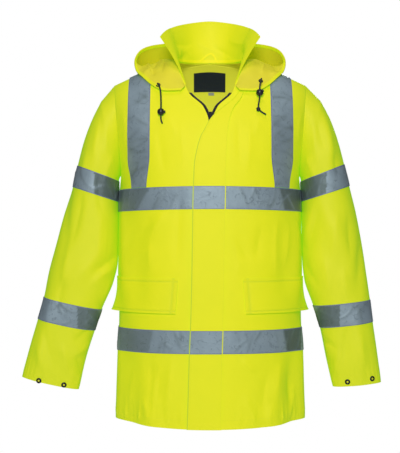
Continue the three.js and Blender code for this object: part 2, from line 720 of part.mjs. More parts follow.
const slider = addPiece('zip_slider', zipSlider(), BLACK);
const sliderSpot = bodyAtX(FRONT, SLIDER.x, SLIDER.ring);
setOnSpot(slider, sliderSpot, -SEAM_GAP - ZIP_WALL / 2);

// Pocket flaps, sewn along the top and standing off at the foot
function pocketFlap(side) {
  const rows = evenSteps(POCKET_ROWS);
  const innerAt = (f) => placeAcross(FRONT, POCKET.inner + POCKET.innerDrop * f, POCKET.top);
  const fixed = COLUMNS.filter((u) => u > innerAt(1) + 0.02 && u < POCKET.outerColumn - 0.02);
  const columns = [null, ...fixed, POCKET.outerColumn];
  const spotAt = (f, column) => {
    const place = POCKET.top + (POCKET.bottom - POCKET.top) * f;
    const u = column ?? innerAt(f);
    const corner = POCKET.corner * smoothStep(0.75, 1, u);
    const lift = POCKET_LIFT + f * f * (POCKET.standOff + corner);
    return { ...bodyAt(FRONT, side.sign, u, place), low: lift, high: lift + CLOTH };
  };
  return gridSheet(rows, columns, spotAt, 0, 0);
}
for (const side of SIDES) addPiece(`pocket_flap_${side.name}`, pocketFlap(side), CLOTH_YELLOW);

// Brace tapes: up the front, over the shoulder and down the back to the chest tape
function braceTape(side) {
  const above = (rows) => [BRACE.foot, ...rows.filter((place) => place > CHEST_TAPE[1])];
  const frontRows = above(FRONT_ROWS);
  const backRows = above(BACK_ROWS).filter((place) => place < BACK_SHOULDER).reverse();
  const rows = [
    ...frontRows.map((place) => ({ face: FRONT, place })),
    ...backRows.map((place) => ({ face: BACK, place })),
  ];
  const spotAt = ({ face, place }, f) => {
    const tuck = face === FRONT ? smoothStep(BRACE.tuckFrom, CHEST_TAPE[1], place) : 0;
    const inner = BRACE.inner + (BRACE.tuckInner - BRACE.inner) * tuck;
    const outer = BRACE.outer + (BRACE.tuckOuter - BRACE.outer) * tuck;
    return bodyAtX(face, side.sign * (inner + (outer - inner) * f), place);
  };
  return gridSheet(rows, evenSteps(BRACE.columns), spotAt, BRACE_LIFT, BRACE_LIFT + TAPE);
}
for (const side of SIDES) addPiece(`brace_tape_${side.name}`, braceTape(side), TAPE_GREY);

// Neck edge, ring by ring, from which the collar and the hood start
const neckEdge = (face, sign, ring) => bodyAt(face, sign, 0, ring).point;

function neckSections(frontTable, backTable) {
  const sections = [];
  for (const side of SIDES) {
    const half = [
      ...frontTable.map((row) => ({ ...row, face: FRONT, sign: side.sign })),
      ...backTable.map((row) => ({ ...row, face: BACK, sign: side.sign })),
    ];
    sections.push(side.sign < 0 ? half : half.reverse().slice(1));
  }
  return sections.flat();
}

// Collar: straight at the back, leaning out and forward at the ends
const collarSections = neckSections(COLLAR_FRONT, COLLAR_BACK);
const collarSurface = (along, up) => {
  const index = Math.min(Math.floor(along), collarSections.length - 2);
  const near = collarPoint(collarSections[index], up);
  const far = collarPoint(collarSections[index + 1], up);
  return near.lerp(far, along - index);
};
Object.assign(collarSurface, { aMin: 0, aMax: collarSections.length - 1, bMin: 0, bMax: 1 });

function collarPoint(section, up) {
  const foot = neckEdge(section.face, section.sign, section.ring).add(new THREE.Vector3(0, 0, COLLAR_LIFT));
  const top = new THREE.Vector3(section.sign * section.topX, section.topY, section.topZ);
  const inward = new THREE.Vector3(-foot.x, -foot.y, 0).setLength(section.lean);
  const point = foot.lerp(top, up);
  return point.addScaledVector(inward, 4 * up * (1 - up));
}

function collarSpot(along, up) {
  const point = collarSurface(along, up);
  return { point, normal: normalOf(collarSurface, along, up, new THREE.Vector3(point.x, point.y, 0)) };
}
const collarColumns = evenSteps(collarSections.length - 1, 0, collarSections.length - 1);
const collarRowSpot = (up, along) => collarSpot(along, up);
const collarSheet = gridSheet(evenSteps(COLLAR_STEPS), collarColumns, collarRowSpot, -CLOTH, 0);
addPiece('collar', collarSheet, CLOTH_YELLOW);

// Hood: a smooth curve through each section's places, and smooth from section to section
const HOOD_HALF = [
  ...HOOD_FRONT.map((row) => ({ ...row, face: FRONT })),
  ...HOOD_BACK.map((row) => ({ ...row, face: BACK })),
];
const HOOD_START = { out: 3.6, lift: 1.5 };
const HOOD_CLEAR = 5;

// The body's spot above or below a place in plan
function bodyUnder(x, y) {
  const face = y > 0 ? BACK : FRONT;
  let low = UNDERARM;
  let high = face.rings.length - 1;
  for (let step = 0; step < 24; step += 1) {
    const middle = (low + high) / 2;
    if (Math.abs(bodyAtX(face, x, middle).point.y) > Math.abs(y)) low = middle;
    else high = middle;
  }
  return bodyAtX(face, x, (low + high) / 2);
}

// Lifts a stop that would lie too near the body
function clearOfBody(stop, lift) {
  if (Math.abs(stop.y) > BACK_RINGS[UNDERARM].depth * 0.8) return stop;
  const under = bodyUnder(stop.x, stop.y);
  const height = stop.clone().sub(under.point).dot(under.normal);
  return height < lift ? stop.addScaledVector(under.normal, lift - height) : stop;
}

function hoodStops(section) {
  const start = neckEdge(section.face, 1, section.ring);
  start.add(new THREE.Vector3(start.x, start.y, 0).setLength(HOOD_START.out));
  const under = bodyUnder(start.x, start.y);
  const stops = [under.point.addScaledVector(under.normal, HOOD_START.lift)];
  for (const stop of ['lie', 'low', 'out', 'rim']) {
    const place = new THREE.Vector3(section[`${stop}X`], section[`${stop}Y`], section[`${stop}Z`]);
    stops.push(clearOfBody(place, HOOD_CLEAR));
  }
  return stops;
}

const hoodCurves = HOOD_HALF.map((section) => new THREE.CatmullRomCurve3(hoodStops(section)));

function hoodSurface(sign) {
  const surface = (along, out) => {
    const stops = hoodCurves.map((curve) => curve.getPoint(Math.min(out, 1)));
    const point = new THREE.CatmullRomCurve3(stops).getPoint(along);
    return new THREE.Vector3(sign * point.x, point.y, point.z);
  };
  return Object.assign(surface, { aMin: 0, aMax: 1, bMin: 0, bMax: 1 });
}

// A place inside the hood, above its wall: over the chest in front and in the bag behind
function hoodInside(sign, along) {
  const lie = new THREE.CatmullRomCurve3(hoodCurves.map((curve) => curve.points[1])).getPoint(along);
  const rim = new THREE.CatmullRomCurve3(hoodCurves.map((curve) => curve.points[4])).getPoint(along);
  const inside = lie.lerp(rim, 0.5).add(new THREE.Vector3(0, -60 * (1 - along), 60 - 50 * along));
  return new THREE.Vector3(sign * inside.x, inside.y, inside.z);
}

function hoodSpot(sign, along, out) {
  const surface = hoodSurface(sign);
  const point = surface(along, out);
  return { point, normal: normalOf(surface, along, out, hoodInside(sign, along).sub(point)) };
}

const hoodColumns = evenSteps(Math.round((HOOD_HALF.length - 1) * HOOD_COLUMNS_PER_SECTION));
for (const side of SIDES) {
  const spotAt = (out, along) => {
    const spot = hoodSpot(side.sign, along, out);
    if (along < 1) return spot;
    const seam = setBack(spot, hoodSpot(side.sign, 0.95, out).point);
    return { ...seam, normal: seam.normal.clone().setX(0).normalize() };
  };
  const cloth = gridSheet(evenSteps(HOOD_STEPS), hoodColumns, spotAt, 0, HOOD_WALL);
  addPiece(`hood_${side.name}`, cloth, CLOTH_YELLOW);
}

// Back neck lining, on the inside of the back
const liningEdge = NECK_LINING.halfColumns / BODY_COLUMNS;
const liningColumns = evenSteps(2 * NECK_LINING.halfColumns, -liningEdge, liningEdge);
const liningRows = BACK_ROWS.filter((place) => place >= NECK_LINING.bottomRing && place <= BACK_NECK);
const liningFace = -CLOTH - SEAM_GAP;
const liningSpot = (place, u) => bodyAt(BACK, u < 0 ? -1 : 1, Math.abs(u), place);
const lining = gridSheet(liningRows, liningColumns, liningSpot, liningFace - LINING, liningFace);
addPiece('neck_lining', lining, LINING_OCHRE);

// The label and tab lie flat on the lining between its rows
function labelSpot(place, x) {
  const row = Math.floor(place);
  const near = bodyAtX(BACK, x, row);
  const far = bodyAtX(BACK, x, row + 1);
  const f = place - row;
  return { point: near.point.lerp(far.point, f), normal: near.normal.lerp(far.normal, f).normalize() };
}
const labelLow = -LABEL.lift - LABEL.wall;
addPiece('neck_label', gridSheet(LABEL.rows, evenSteps(2, -LABEL.half, LABEL.half),
  labelSpot, labelLow, -LABEL.lift), NAVY);
addPiece('size_tab', gridSheet(SIZE_TAB.rows, [SIZE_TAB.left, SIZE_TAB.right],
  labelSpot, labelLow, -LABEL.lift), TAB_GREY);

// Hanging loop, standing up from the back neck seam against the inside of the collar
function hangingLoop() {
  const centre = (collarSections.length - 1) / 2;
  const perX = 1 / BACK_RINGS[BACK_NECK + 1].open;
  const corner = (x, up) => new THREE.Vector2(x, up);
  const path = new THREE.SplineCurve([
    corner(LOOP.left, LOOP.foot),
    corner(LOOP.left * 0.55, LOOP.top * 0.62),
    corner(LOOP.apex, LOOP.top),
    corner(LOOP.right * 0.8, LOOP.top * 0.62),
    corner(LOOP.right, LOOP.foot),
  ]);
  const collarHeight = COLLAR_BACK[COLLAR_BACK.length - 1].topZ;
  const spotAt = (f, edge) => {
    const { x, y } = path.getPoint(f);
    const tangent = path.getTangent(f);
    const across = new THREE.Vector2(-tangent.y * collarHeight, tangent.x).setLength((edge * LOOP.width) / 2);
    return collarSpot(centre + (x + across.x) * perX, y + across.y / collarHeight);
  };
  const face = -CLOTH - LOOP.gap;
  return gridSheet(evenSteps(LOOP.steps), [-1, 1], spotAt, face - LOOP.wall, face);
}
addPiece('hanging_loop', hangingLoop(), CLOTH_YELLOW);

// Finds the spot of a surface that shows at a given place from the front
function spotSeenAt(spotAt, aRange, bRange, x, z) {
  let best = null;
  let { from: aLow, to: aHigh } = aRange;
  let { from: bLow, to: bHigh } = bRange;
  for (let pass = 0; pass < 5; pass += 1) {
    let nearest = Infinity;
    let [bestA, bestB] = [0, 0];
    for (const a of evenSteps(12, aLow, aHigh)) {
      for (const b of evenSteps(12, bLow, bHigh)) {
        const spot = spotAt(a, b);
        const distance = Math.hypot(spot.point.x - x, spot.point.z - z);
        if (distance < nearest) [nearest, bestA, bestB, best] = [distance, a, b, spot];
      }
    }
    const [aSpan, bSpan] = [(aHigh - aLow) / 5, (bHigh - bLow) / 5];
    [aLow, aHigh] = [Math.max(bestA - aSpan, aRange.from), Math.min(bestA + aSpan, aRange.to)];
    [bLow, bHigh] = [Math.max(bestB - bSpan, bRange.from), Math.min(bestB + bSpan, bRange.to)];
  }
  return best;
}

// Lathed fittings, turned about their own X axis so that setOnSpot can place them
function turned(profile, sides) {
  const geometry = new THREE.LatheGeometry(profile.map(([r, h]) => new THREE.Vector2(r, h)), sides);
  return geometry.rotateZ(-Math.PI / 2);
}

const FITTING_SIDES = 12;

// Cuff studs
const CUFF_STUDS = table(['side', 'x', 'z'], [
  ['right', -387, -731], ['right', -331, -741], ['left', 310, -734], ['left', 366, -727],
]);
CUFF_STUDS.forEach((row, index) => {
  const side = SIDES.find((candidate) => candidate.name === row.side);
  const place = { from: 10.5, to: 12 };
  const spotAt = (around, at) => sleeveSpot(side, around, at);
  const spot = spotSeenAt(spotAt, { from: 0.05, to: 0.45 }, place, row.x, row.z);
  const profile = [[0, 0], [STUD.radius, 0], [STUD.radius, STUD.wall * 0.6], [STUD.radius * 0.8, STUD.wall],
    [STUD.dish, STUD.wall], [STUD.dish * 0.8, STUD.wall - STUD.dishDepth], [0, STUD.wall - STUD.dishDepth]];
  const name = `cuff_stud_${row.side}_${index % 2 === 0 ? 'outer' : 'inner'}`;
  setOnSpot(addPiece(name, turned(profile, FITTING_SIDES), BLACK), spot, SEAM_GAP);
});

// Hood cord: an eyelet near the rim, the free end, its cord lock and, on the left, a knot
const EYELET_PLACE = { right: { x: -117, z: -66 }, left: { x: 113.4, z: -56 } };
for (const side of SIDES) {
  const { x, z } = EYELET_PLACE[side.name];
  const spotAt = (along, out) => hoodSpot(side.sign, along, out);
  const spot = spotSeenAt(spotAt, { from: 0, to: 0.5 }, { from: 0.6, to: 0.94 }, x, z);
  const profile = [[EYELET.hole, 0], [EYELET.outer, 0], [EYELET.outer * 0.85, EYELET.wall],
    [EYELET.hole * 1.2, EYELET.wall], [EYELET.hole, 0]];
  const eyelet = addPiece(`eyelet_${side.name}`, turned(profile, FITTING_SIDES), BLACK);
  setOnSpot(eyelet, spot, HOOD_WALL + SEAM_GAP);
}

// Cord routes, chosen by hand: each stretch ends at a lock or at the knot
const CORD_ROUTES = {
  cord_right_upper: [
    [-117.3, -87.4, -64.8], [-118, -91.3, -62.7], [-117.8, -95.8, -62.2], [-116.4, -100.2, -64.4],
    [-114.2, -103.2, -69.2], [-112.2, -104.8, -76.5], [-111, -106.6, -86], [-110.4, -109.6, -97],
    [-110, -114.5, -108.5], [-110, -119.3, -119.8],
  ],
  cord_right_tail: [
    [-110, -120.4, -137.2], [-110.2, -120.8, -143], [-109, -121.2, -149], [-106.8, -121.5, -154.5],
  ],
  cord_left_upper: [
    [113.8, -81.4, -54.6], [114.4, -85.6, -51.8], [114.6, -90.4, -50.9], [113.8, -95, -53],
    [112.4, -98.8, -58], [110.9, -102.2, -66], [110, -104.6, -75.3],
  ],
  cord_left_middle: [
    [109.8, -105.9, -92.7], [109, -107.9, -100], [107.4, -111.5, -109], [106.4, -114.4, -116.2],
  ],
  cord_left_tail: [
    [110.4, -115.1, -125.6], [114.8, -115, -129], [119.4, -114.5, -131.6], [123.4, -114.5, -134],
  ],
};
const CORD_STEP = 7.2;

function cordTube(points) {
  const path = new THREE.CatmullRomCurve3(points.map((point) => new THREE.Vector3(...point)));
  const outline = evenSteps(CORD_SIDES).slice(1).map((turn) => {
    const angle = 2 * Math.PI * turn;
    return new THREE.Vector2(CORD_RADIUS * Math.cos(angle), CORD_RADIUS * Math.sin(angle));
  });
  const settings = {
    steps: Math.ceil(path.getLength() / CORD_STEP) + 1,
    extrudePath: path,
    bevelEnabled: false,
  };
  return new THREE.ExtrudeGeometry(new THREE.Shape(outline), settings);
}
for (const [name, points] of Object.entries(CORD_ROUTES)) addPiece(name, cordTube(points), BLACK);

// Cord locks: a ball with a bore for its sprung plunger. The plunger points along the ball's axis.
const LOCK_PLACE = {
  right: { point: [-110, -120, -128.5], axis: [1, 0, 0] },
  left: { point: [110, -105, -84], axis: [0.866, 0, 0.5] },
};
const LOCK_MOUTH = Math.sqrt(LOCK.radius ** 2 - (LOCK.bore + LOCK.lip) ** 2);

function lockBody() {
  const profile = [];
  const mouthAngle = Math.asin(LOCK_MOUTH / LOCK.radius);
  for (const angle of evenSteps(LOCK.rings, -Math.PI / 2, mouthAngle)) {
    profile.push([Math.max(LOCK.radius * Math.cos(angle), 0), LOCK.radius * Math.sin(angle)]);
  }
  profile[0][0] = 0;
  const floor = LOCK_MOUTH - LOCK.boreDepth;
  profile.push([LOCK.bore, LOCK_MOUTH], [LOCK.bore, floor], [0, floor]);
  return turned(profile, FITTING_SIDES);
}

function lockPlunger() {
  const inner = LOCK_MOUTH - LOCK.boreDepth + LOCK.floor;
  const outer = LOCK_MOUTH + LOCK.stand;
  const profile = [
    [0, inner],
    [LOCK.plunger, inner],
    [LOCK.plunger, outer - LOCK.chamfer],
    [LOCK.plunger - LOCK.chamfer, outer],
    [0, outer],
  ];
  return turned(profile, FITTING_SIDES);
}

for (const side of SIDES) {
  const place = LOCK_PLACE[side.name];
  const spot = { point: new THREE.Vector3(...place.point), normal: new THREE.Vector3(...place.axis) };
  const across = new THREE.Vector3(0, 1, 0);
  setOnSpot(addPiece(`cord_lock_${side.name}`, lockBody(), BLACK), spot, 0, across);
  setOnSpot(addPiece(`cord_lock_plunger_${side.name}`, lockPlunger(), BLACK), spot, 0, across);
}

// Knot near the left cord's end
function knotBody() {
  const profile = evenSteps(KNOT.rings, -Math.PI / 2, Math.PI / 2)
    .map((angle) => [KNOT.radius * Math.cos(angle), KNOT.half * Math.sin(angle)]);
  profile[0][0] = 0;
  profile[KNOT.rings][0] = 0;
  return turned(profile, KNOT.sides);
}
const knotSpot = { point: new THREE.Vector3(...KNOT.point), normal: new THREE.Vector3(0, 0, 1) };
setOnSpot(addPiece('cord_knot', knotBody(), BLACK), knotSpot, 0, new THREE.Vector3(0, 1, 0));

export default jacket;
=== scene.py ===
"""Looks of the hi-vis work jacket: cloth, reflective tape, zip, label, cords and sewing.

Sizes in the tables are in millimetres, in the part's own frame: X to the wearer's left, Y to the
back and Z up. Objects are made in metres.
"""

import math

import bmesh
import bpy
import numpy as np
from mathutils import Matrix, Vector


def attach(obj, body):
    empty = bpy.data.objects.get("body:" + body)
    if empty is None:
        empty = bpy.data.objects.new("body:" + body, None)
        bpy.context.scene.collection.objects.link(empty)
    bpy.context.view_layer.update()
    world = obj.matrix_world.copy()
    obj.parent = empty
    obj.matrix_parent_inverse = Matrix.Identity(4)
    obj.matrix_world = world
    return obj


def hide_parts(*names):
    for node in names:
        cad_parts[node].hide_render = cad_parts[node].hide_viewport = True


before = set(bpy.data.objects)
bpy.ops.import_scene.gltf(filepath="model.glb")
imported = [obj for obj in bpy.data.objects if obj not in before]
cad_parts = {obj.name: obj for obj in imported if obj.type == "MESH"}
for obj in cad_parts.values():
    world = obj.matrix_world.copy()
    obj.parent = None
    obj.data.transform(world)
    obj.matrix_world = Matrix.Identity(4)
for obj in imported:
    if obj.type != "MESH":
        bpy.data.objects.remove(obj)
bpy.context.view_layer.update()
scene = bpy.context.scene
MM = 0.001

# Walls and gaps
CLOTH = 1.8
TAPE = 0.9
LINING = 0.8
SEAM_GAP = 0.3
TAPE_LIFT = 0.3
BRACE_LIFT = 1.2
FLAP_LIFT = 1.6
POCKET_LIFT = 0.9
HOOD_WALL = 1.6
ZIP_STRIP = 4.05
ZIP_WALL = 1.3
BODY_SQUARE = 2.3
SLEEVE_SQUARE = 2.2
GRID = 4.0


def table(columns, rows):
    return {"names": columns.split(), "rows": np.array(rows, float)}


# Body rings, from the hem up
RING_COLUMNS = "z open depth share edge_x edge_z ramp"
FRONT_RINGS = table(RING_COLUMNS, [
    [-829, 4.5, 150, 0, 217, -818, 2],
    [-745, 4.5, 149.5, 0, 214.5, -740, 2],
    [-662.5, 4.5, 149, 0, 212, -664, 2],
    [-612, 4.5, 148.5, 0, 211, -612, 2],
    [-535, 4.5, 148, 0, 210.5, -535, 2],
    [-440, 4.5, 147, 0, 209.5, -441, 2],
    [-344.5, 4.5, 146, 0, 208, -349, 2],
    [-294.5, 4.5, 145, 0, 207.5, -299, 2],
    [-262, 4.5, 143.5, 0, 207, -265, 2],
    [-222, 4.5, 141, 0.18, 208, -238, 2],
    [-185, 4.5, 135.5, 0.36, 210.5, -196, 2],
    [-150, 4.5, 127, 0.46, 213.5, -150, 2],
    [-117, 15.5, 115, 0.5, 216.5, -110, 1.9],
    [-83, 48.5, 98, 0.43, 219.5, -79, 1.7],
    [-45, 62, 74, 0.324, 221, -64, 1.5],
    [-18, 71, 45, 0.267, 221.8, -57.5, 1.35],
    [-3, 74.4, 18, 0.333, 221.9, -56.25, 1.28],
    [2, 75, 0, 0, 222, -55, 1.25],
])
BACK_RINGS = table(RING_COLUMNS, [
    [-822, 0, 150, 0, 217, -818, 2],
    [-742, 0, 149.5, 0, 214.5, -740, 2],
    [-662.5, 0, 149, 0, 212, -664, 2],
    [-612, 0, 148.5, 0, 211, -612, 2],
    [-535, 0, 148, 0, 210.5, -535, 2],
    [-440, 0, 147, 0, 209.5, -441, 2],
    [-344.5, 0, 146, 0, 208, -349, 2],
    [-294.5, 0, 145, 0, 207.5, -299, 2],
    [-262, 0, 144, 0, 207, -265, 2],
    [-225, 0, 142.5, 0.18, 208, -238, 2],
    [-185, 0, 140, 0.37, 210.5, -196, 2],
    [-145, 0, 135.5, 0.46, 213.5, -150, 2],
    [-105, 0, 128.5, 0.47, 216.5, -110, 1.9],
    [-65, 0, 118, 0.41, 219.5, -80, 1.8],
    [-28, 0, 102, 0.3, 221, -65, 1.7],
    [8, 0, 77, 0.2, 221.8, -57, 1.5],
    [7, 36, 69, 0.1674, 221.85, -56.5, 1.4],
    [4.5, 62, 42, 0.1833, 221.9, -56, 1.3],
    [2.5, 73, 15, 0.2567, 221.95, -55.5, 1.27],
    [2, 75, 0, 0, 222, -55, 1.25],
])
LOWER_TAPE = (2, 3)
CHEST_TAPE = (6, 7)
V_TOP = 13
BACK_NECK = 15

# The rings of the armhole's rows, from shoulder to underarm
FRONT_ARMHOLE = [17, 15, 14, 13, 12.3, 11.6, 10.9, 10.2, 9.6, 9, 8.5, 8]
BACK_ARMHOLE = [19, 15, 14, 13, 12.2, 11.4, 10.6, 9.8, 9.4, 9, 8.5, 8]

# Large folds of the body: side, place u, drift, top and bottom height, width in u, relief
FRONT_FOLDS = [
    (-1, 0.8, -0.1, -300, -560, 0.09, 6),
    (-1, 0.55, -0.05, -340, -600, 0.1, -4),
    (-1, 0.8, 0, -560, -900, 0.09, 7),
    (-1, 0.58, 0, -650, -900, 0.09, -5),
    (-1, 0.38, 0, -690, -900, 0.09, 4),
    (1, 0.8, -0.1, -300, -590, 0.09, 6),
    (1, 0.5, 0.05, -350, -560, 0.1, -4),
    (1, 0.8, 0, -560, -900, 0.09, 8),
    (1, 0.62, 0, -640, -900, 0.09, -6),
    (1, 0.42, 0, -680, -900, 0.09, 4.5),
]
BACK_FOLDS = [
    (-1, 0.8, -0.1, -300, -600, 0.1, 7),
    (-1, 0.4, 0, -330, -620, 0.1, -5),
    (-1, 0.7, 0, -560, -900, 0.1, 8),
    (-1, 0.45, 0, -620, -900, 0.1, -5),
    (1, 0.78, -0.08, -300, -600, 0.1, 7),
    (1, 0.4, 0, -360, -650, 0.1, -5),
    (1, 0.78, 0, -580, -900, 0.1, 8),
    (1, 0.5, 0, -640, -900, 0.1, -5),
]

# Smaller creases, placed as seen from the front or from behind: start x and z, end x and z,
# bow, width and relief. The steep side of a crease is the one that its bow points to.
FRONT_CREASES = [
    (-99, -351, -134, -404, 3, 7, 2.2),
    (-130, -355, -165, -413, -3, 8, -1.8),
    (-63, -307, -76, -462, 2, 10, -1.6),
    (-134, -404, -134, -488, 2, 9, 2.0),
    (-176, -386, -194, -462, 2, 7, -1.8),
    (-185, -462, -134, -431, -4, 8, 1.6),
    (-85, -674, -94, -811, 4, 8, 2.4),
    (-132, -670, -138, -807, -3, 9, -2.4),
    (-172, -701, -183, -802, 3, 8, 2.2),
    (-112, -705, -116, -776, 2, 6, -1.6),
    (-149, -763, -130, -820, 2, 6, 1.8),
    (-61, -723, -54, -807, -2, 9, 1.2),
    (-99, -123, -76, -192, -3, 9, 1.2),
    (-116, -165, -99, -271, 3, 9, -1.4),
    (-68, -147, -54, -271, 0, 9, 1.2),
    (34, -386, 61, -479, -3, 6, 1.8),
    (48, -395, 92, -462, 4, 8, -1.6),
    (149, -364, 147, -493, 3, 8, 2.4),
    (114, -382, 101, -462, 2, 9, -1.8),
    (176, -377, 167, -475, -2, 7, 2.0),
    (65, -462, 48, -510, 3, 6, 1.4),
    (34, -581, 56, -617, 2, 5, 1.2),
    (65, -674, 103, -705, 3, 6, 1.8),
    (72, -754, 103, -829, -3, 7, 2.2),
    (127, -705, 114, -798, 3, 9, -2.2),
    (156, -683, 145, -767, 2, 8, 2.2),
    (180, -709, 185, -794, 2, 8, -2.6),
    (191, -745, 178, -820, -2, 6, 3.0),
    (136, -776, 127, -825, 2, 6, 1.6),
    (48, -705, 56, -794, 2, 10, -1.2),
    (114, -129, 101, -183, 3, 9, 1.1),
    (87, -147, 79, -271, -3, 10, 1.3),
    (61, -148, 65, -258, 2, 9, -1.2),
    (205, -122, 198, -196, 2, 6, 1.6),
    (-196, -122, -192, -209, -2, 6, 1.5),
    (189, -355, 207, -404, -3, 6, -2.0),
]
BACK_CREASES = [
    (-120, -352, -84, -430, 3, 8, 2.2),
    (-160, -372, -128, -470, -3, 9, -2.0),
    (-46, -150, -62, -262, 3, 9, 1.4),
    (52, -170, 40, -276, -3, 9, -1.4),
    (110, -150, 128, -250, 3, 8, 1.6),
    (-118, -160, -140, -256, -3, 8, -1.6),
    (98, -358, 132, -446, 4, 8, 2.2),
    (62, -380, 84, -500, -4, 9, -1.8),
    (-20, -398, -34, -540, 3, 10, 1.6),
    (166, -392, 176, -500, 3, 8, 2.0),
    (-176, -480, -150, -560, 3, 8, 1.8),
    (-92, -686, -104, -808, 4, 8, 2.4),
    (-28, -700, -20, -800, -3, 9, -1.8),
    (44, -676, 58, -790, 3, 8, 2.0),
    (112, -690, 98, -812, -4, 8, -2.4),
    (164, -702, 176, -806, 3, 7, 2.6),
    (-160, -716, -176, -812, -3, 7, -2.2),
    (140, -560, 120, -600, 3, 7, 1.4),
]
SLEEVE_FRONT_CREASES = [
    (-249, -113, -262, -236, -4, 9, -2.6),
    (-227, -119, -236, -214, 3, 8, 2.2),
    (-280, -214, -289, -276, 2, 7, 2.0),
    (-218, -214, -245, -315, 5, 7, 2.4),
    (-291, -302, -320, -435, -5, 8, -3.0),
    (-311, -395, -333, -528, 4, 8, 2.8),
    (-253, -262, -245, -355, 3, 7, -2.4),
    (-245, -355, -253, -462, 3, 10, 2.2),
    (-209, -444, -267, -488, -4, 7, -3.4),
    (-218, -475, -271, -519, 4, 7, 2.8),
    (-329, -501, -346, -572, 2, 7, -2.2),
    (-227, -506, -245, -559, 2, 6, 2.0),
    (-260, -612, -307, -643, 3, 6, -2.6),
    (-267, -639, -320, -683, -4, 7, 2.4),
    (-377, -594, -355, -705, 4, 9, -2.4),
    (-338, -648, -320, -714, -3, 7, 2.0),
    (-302, -670, -289, -723, 2, 6, -1.8),
    (-391, -648, -377, -709, 2, 6, 1.8),
    (-360, -546, -369, -603, 2, 7, 1.6),
    (238, -109, 260, -214, 4, 9, -2.4),
    (225, -130, 238, -227, -3, 7, 2.0),
    (282, -214, 291, -280, 2, 7, -2.0),
    (211, -214, 238, -293, -5, 7, 2.4),
    (233, -333, 207, -431, -4, 8, 3.2),
    (247, -342, 225, -439, 4, 8, -2.6),
    (196, -413, 220, -439, -3, 5, -3.2),
    (287, -351, 278, -462, 3, 10, 2.4),
    (313, -355, 318, -462, 2, 8, -2.2),
    (256, -453, 269, -537, -3, 9, 2.2),
    (211, -453, 247, -524, 4, 7, -2.4),
    (300, -475, 309, -546, 2, 7, 2.0),
    (247, -612, 273, -678, 3, 8, 2.6),
    (238, -634, 287, -661, -3, 6, -2.4),
    (313, -603, 300, -705, 4, 8, -2.2),
    (291, -661, 282, -718, 2, 7, 2.0),
    (264, -678, 273, -732, 2, 6, -1.8),
    (340, -625, 349, -705, 2, 6, 1.8),
]
SLEEVE_BACK_CREASES = [
    (-244, -140, -268, -240, 4, 9, 2.4),
    (-270, -180, -296, -262, -4, 8, -2.2),
    (-246, -330, -262, -430, 4, 9, 2.6),
    (-300, -350, -318, -470, -4, 9, -2.4),
    (-222, -450, -280, -480, 4, 7, 3.2),
    (-240, -490, -296, -508, -3, 7, -2.6),
    (-340, -480, -352, -560, 3, 8, 2.2),
    (-300, -610, -340, -690, 4, 8, 2.4),
    (-352, -630, -378, -712, -3, 8, -2.2),
    (246, -130, 268, -236, -4, 9, 2.4),
    (276, -190, 292, -262, 4, 8, -2.2),
    (240, -330, 262, -440, -4, 9, -2.6),
    (292, -340, 312, -450, 4, 9, 2.4),
    (218, -440, 270, -476, -4, 7, -3.0),
    (232, -480, 282, -498, 3, 7, 2.6),
    (330, -470, 340, -560, -3, 8, -2.2),
    (284, -620, 312, -690, 4, 8, 2.4),
    (330, -640, 344, -720, -3, 8, -2.0),
]
NECK_CREASES = [
    (-64, 26, -60, -13, 2, 4, -3.0),
    (-73, 39, -71, 3, 1, 5, 2.2),
    (81, 30, 76, -6, 2, 4, -3.0),
    (90, 48, 88, 8, 1, 5, 2.0),
    (40, 30, 63, -10, 3, 5, 1.8),
    (4, 48, 67, 3, -5, 6, -1.6),
    (-50, 30, -14, -6, 4, 6, 1.6),
    (-32, 62, 36, 30, 5, 8, 1.4),
    (-87, 44, -41, 53, 3, 6, -1.6),
    (49, 62, 94, 39, 3, 7, 1.6),
    (-10, 30, -23, -10, 2, 6, -1.2),
    (-96, 21, -87, -15, 2, 4, 2.0),
]
HOOD_CREASES = [
    (-134, -20, -150, -1, 1, 3.4, 3.2),
    (-134, -20, -123, -6, 1, 3, -2.6),
    (-134, -20, -127, -42, 1, 3.4, -2.4),
    (-134, -20, -155, -38, 1, 4, 2.2),
    (-107, -6, -118, 8, 1, 3, 2.4),
    (-107, -6, -112, -33, 1, 4, -2.2),
    (126, -6, 117, -38, 2, 5, 2.4),
    (144, -1, 156, -33, -2, 5, -2.2),
    (119, 12, 149, -1, 2, 4, 1.8),
    (135, -38, 162, -29, 1, 4, 1.6),
    (-146, -56, -114, -69, -1, 4, 1.4),
]
HOOD_BACK_CREASES = [
    (-20, 40, -60, -40, 5, 8, 2.6),
    (30, 44, 52, -30, -5, 8, -2.6),
    (-70, 30, -110, -20, 4, 7, -2.4),
    (76, 26, 112, -24, -4, 7, 2.4),
    (-40, -60, 30, -84, 8, 8, 2.4),
    (-80, -50, -40, -100, -4, 7, -2.0),
    (60, -56, 90, -78, 4, 7, 2.2),
]

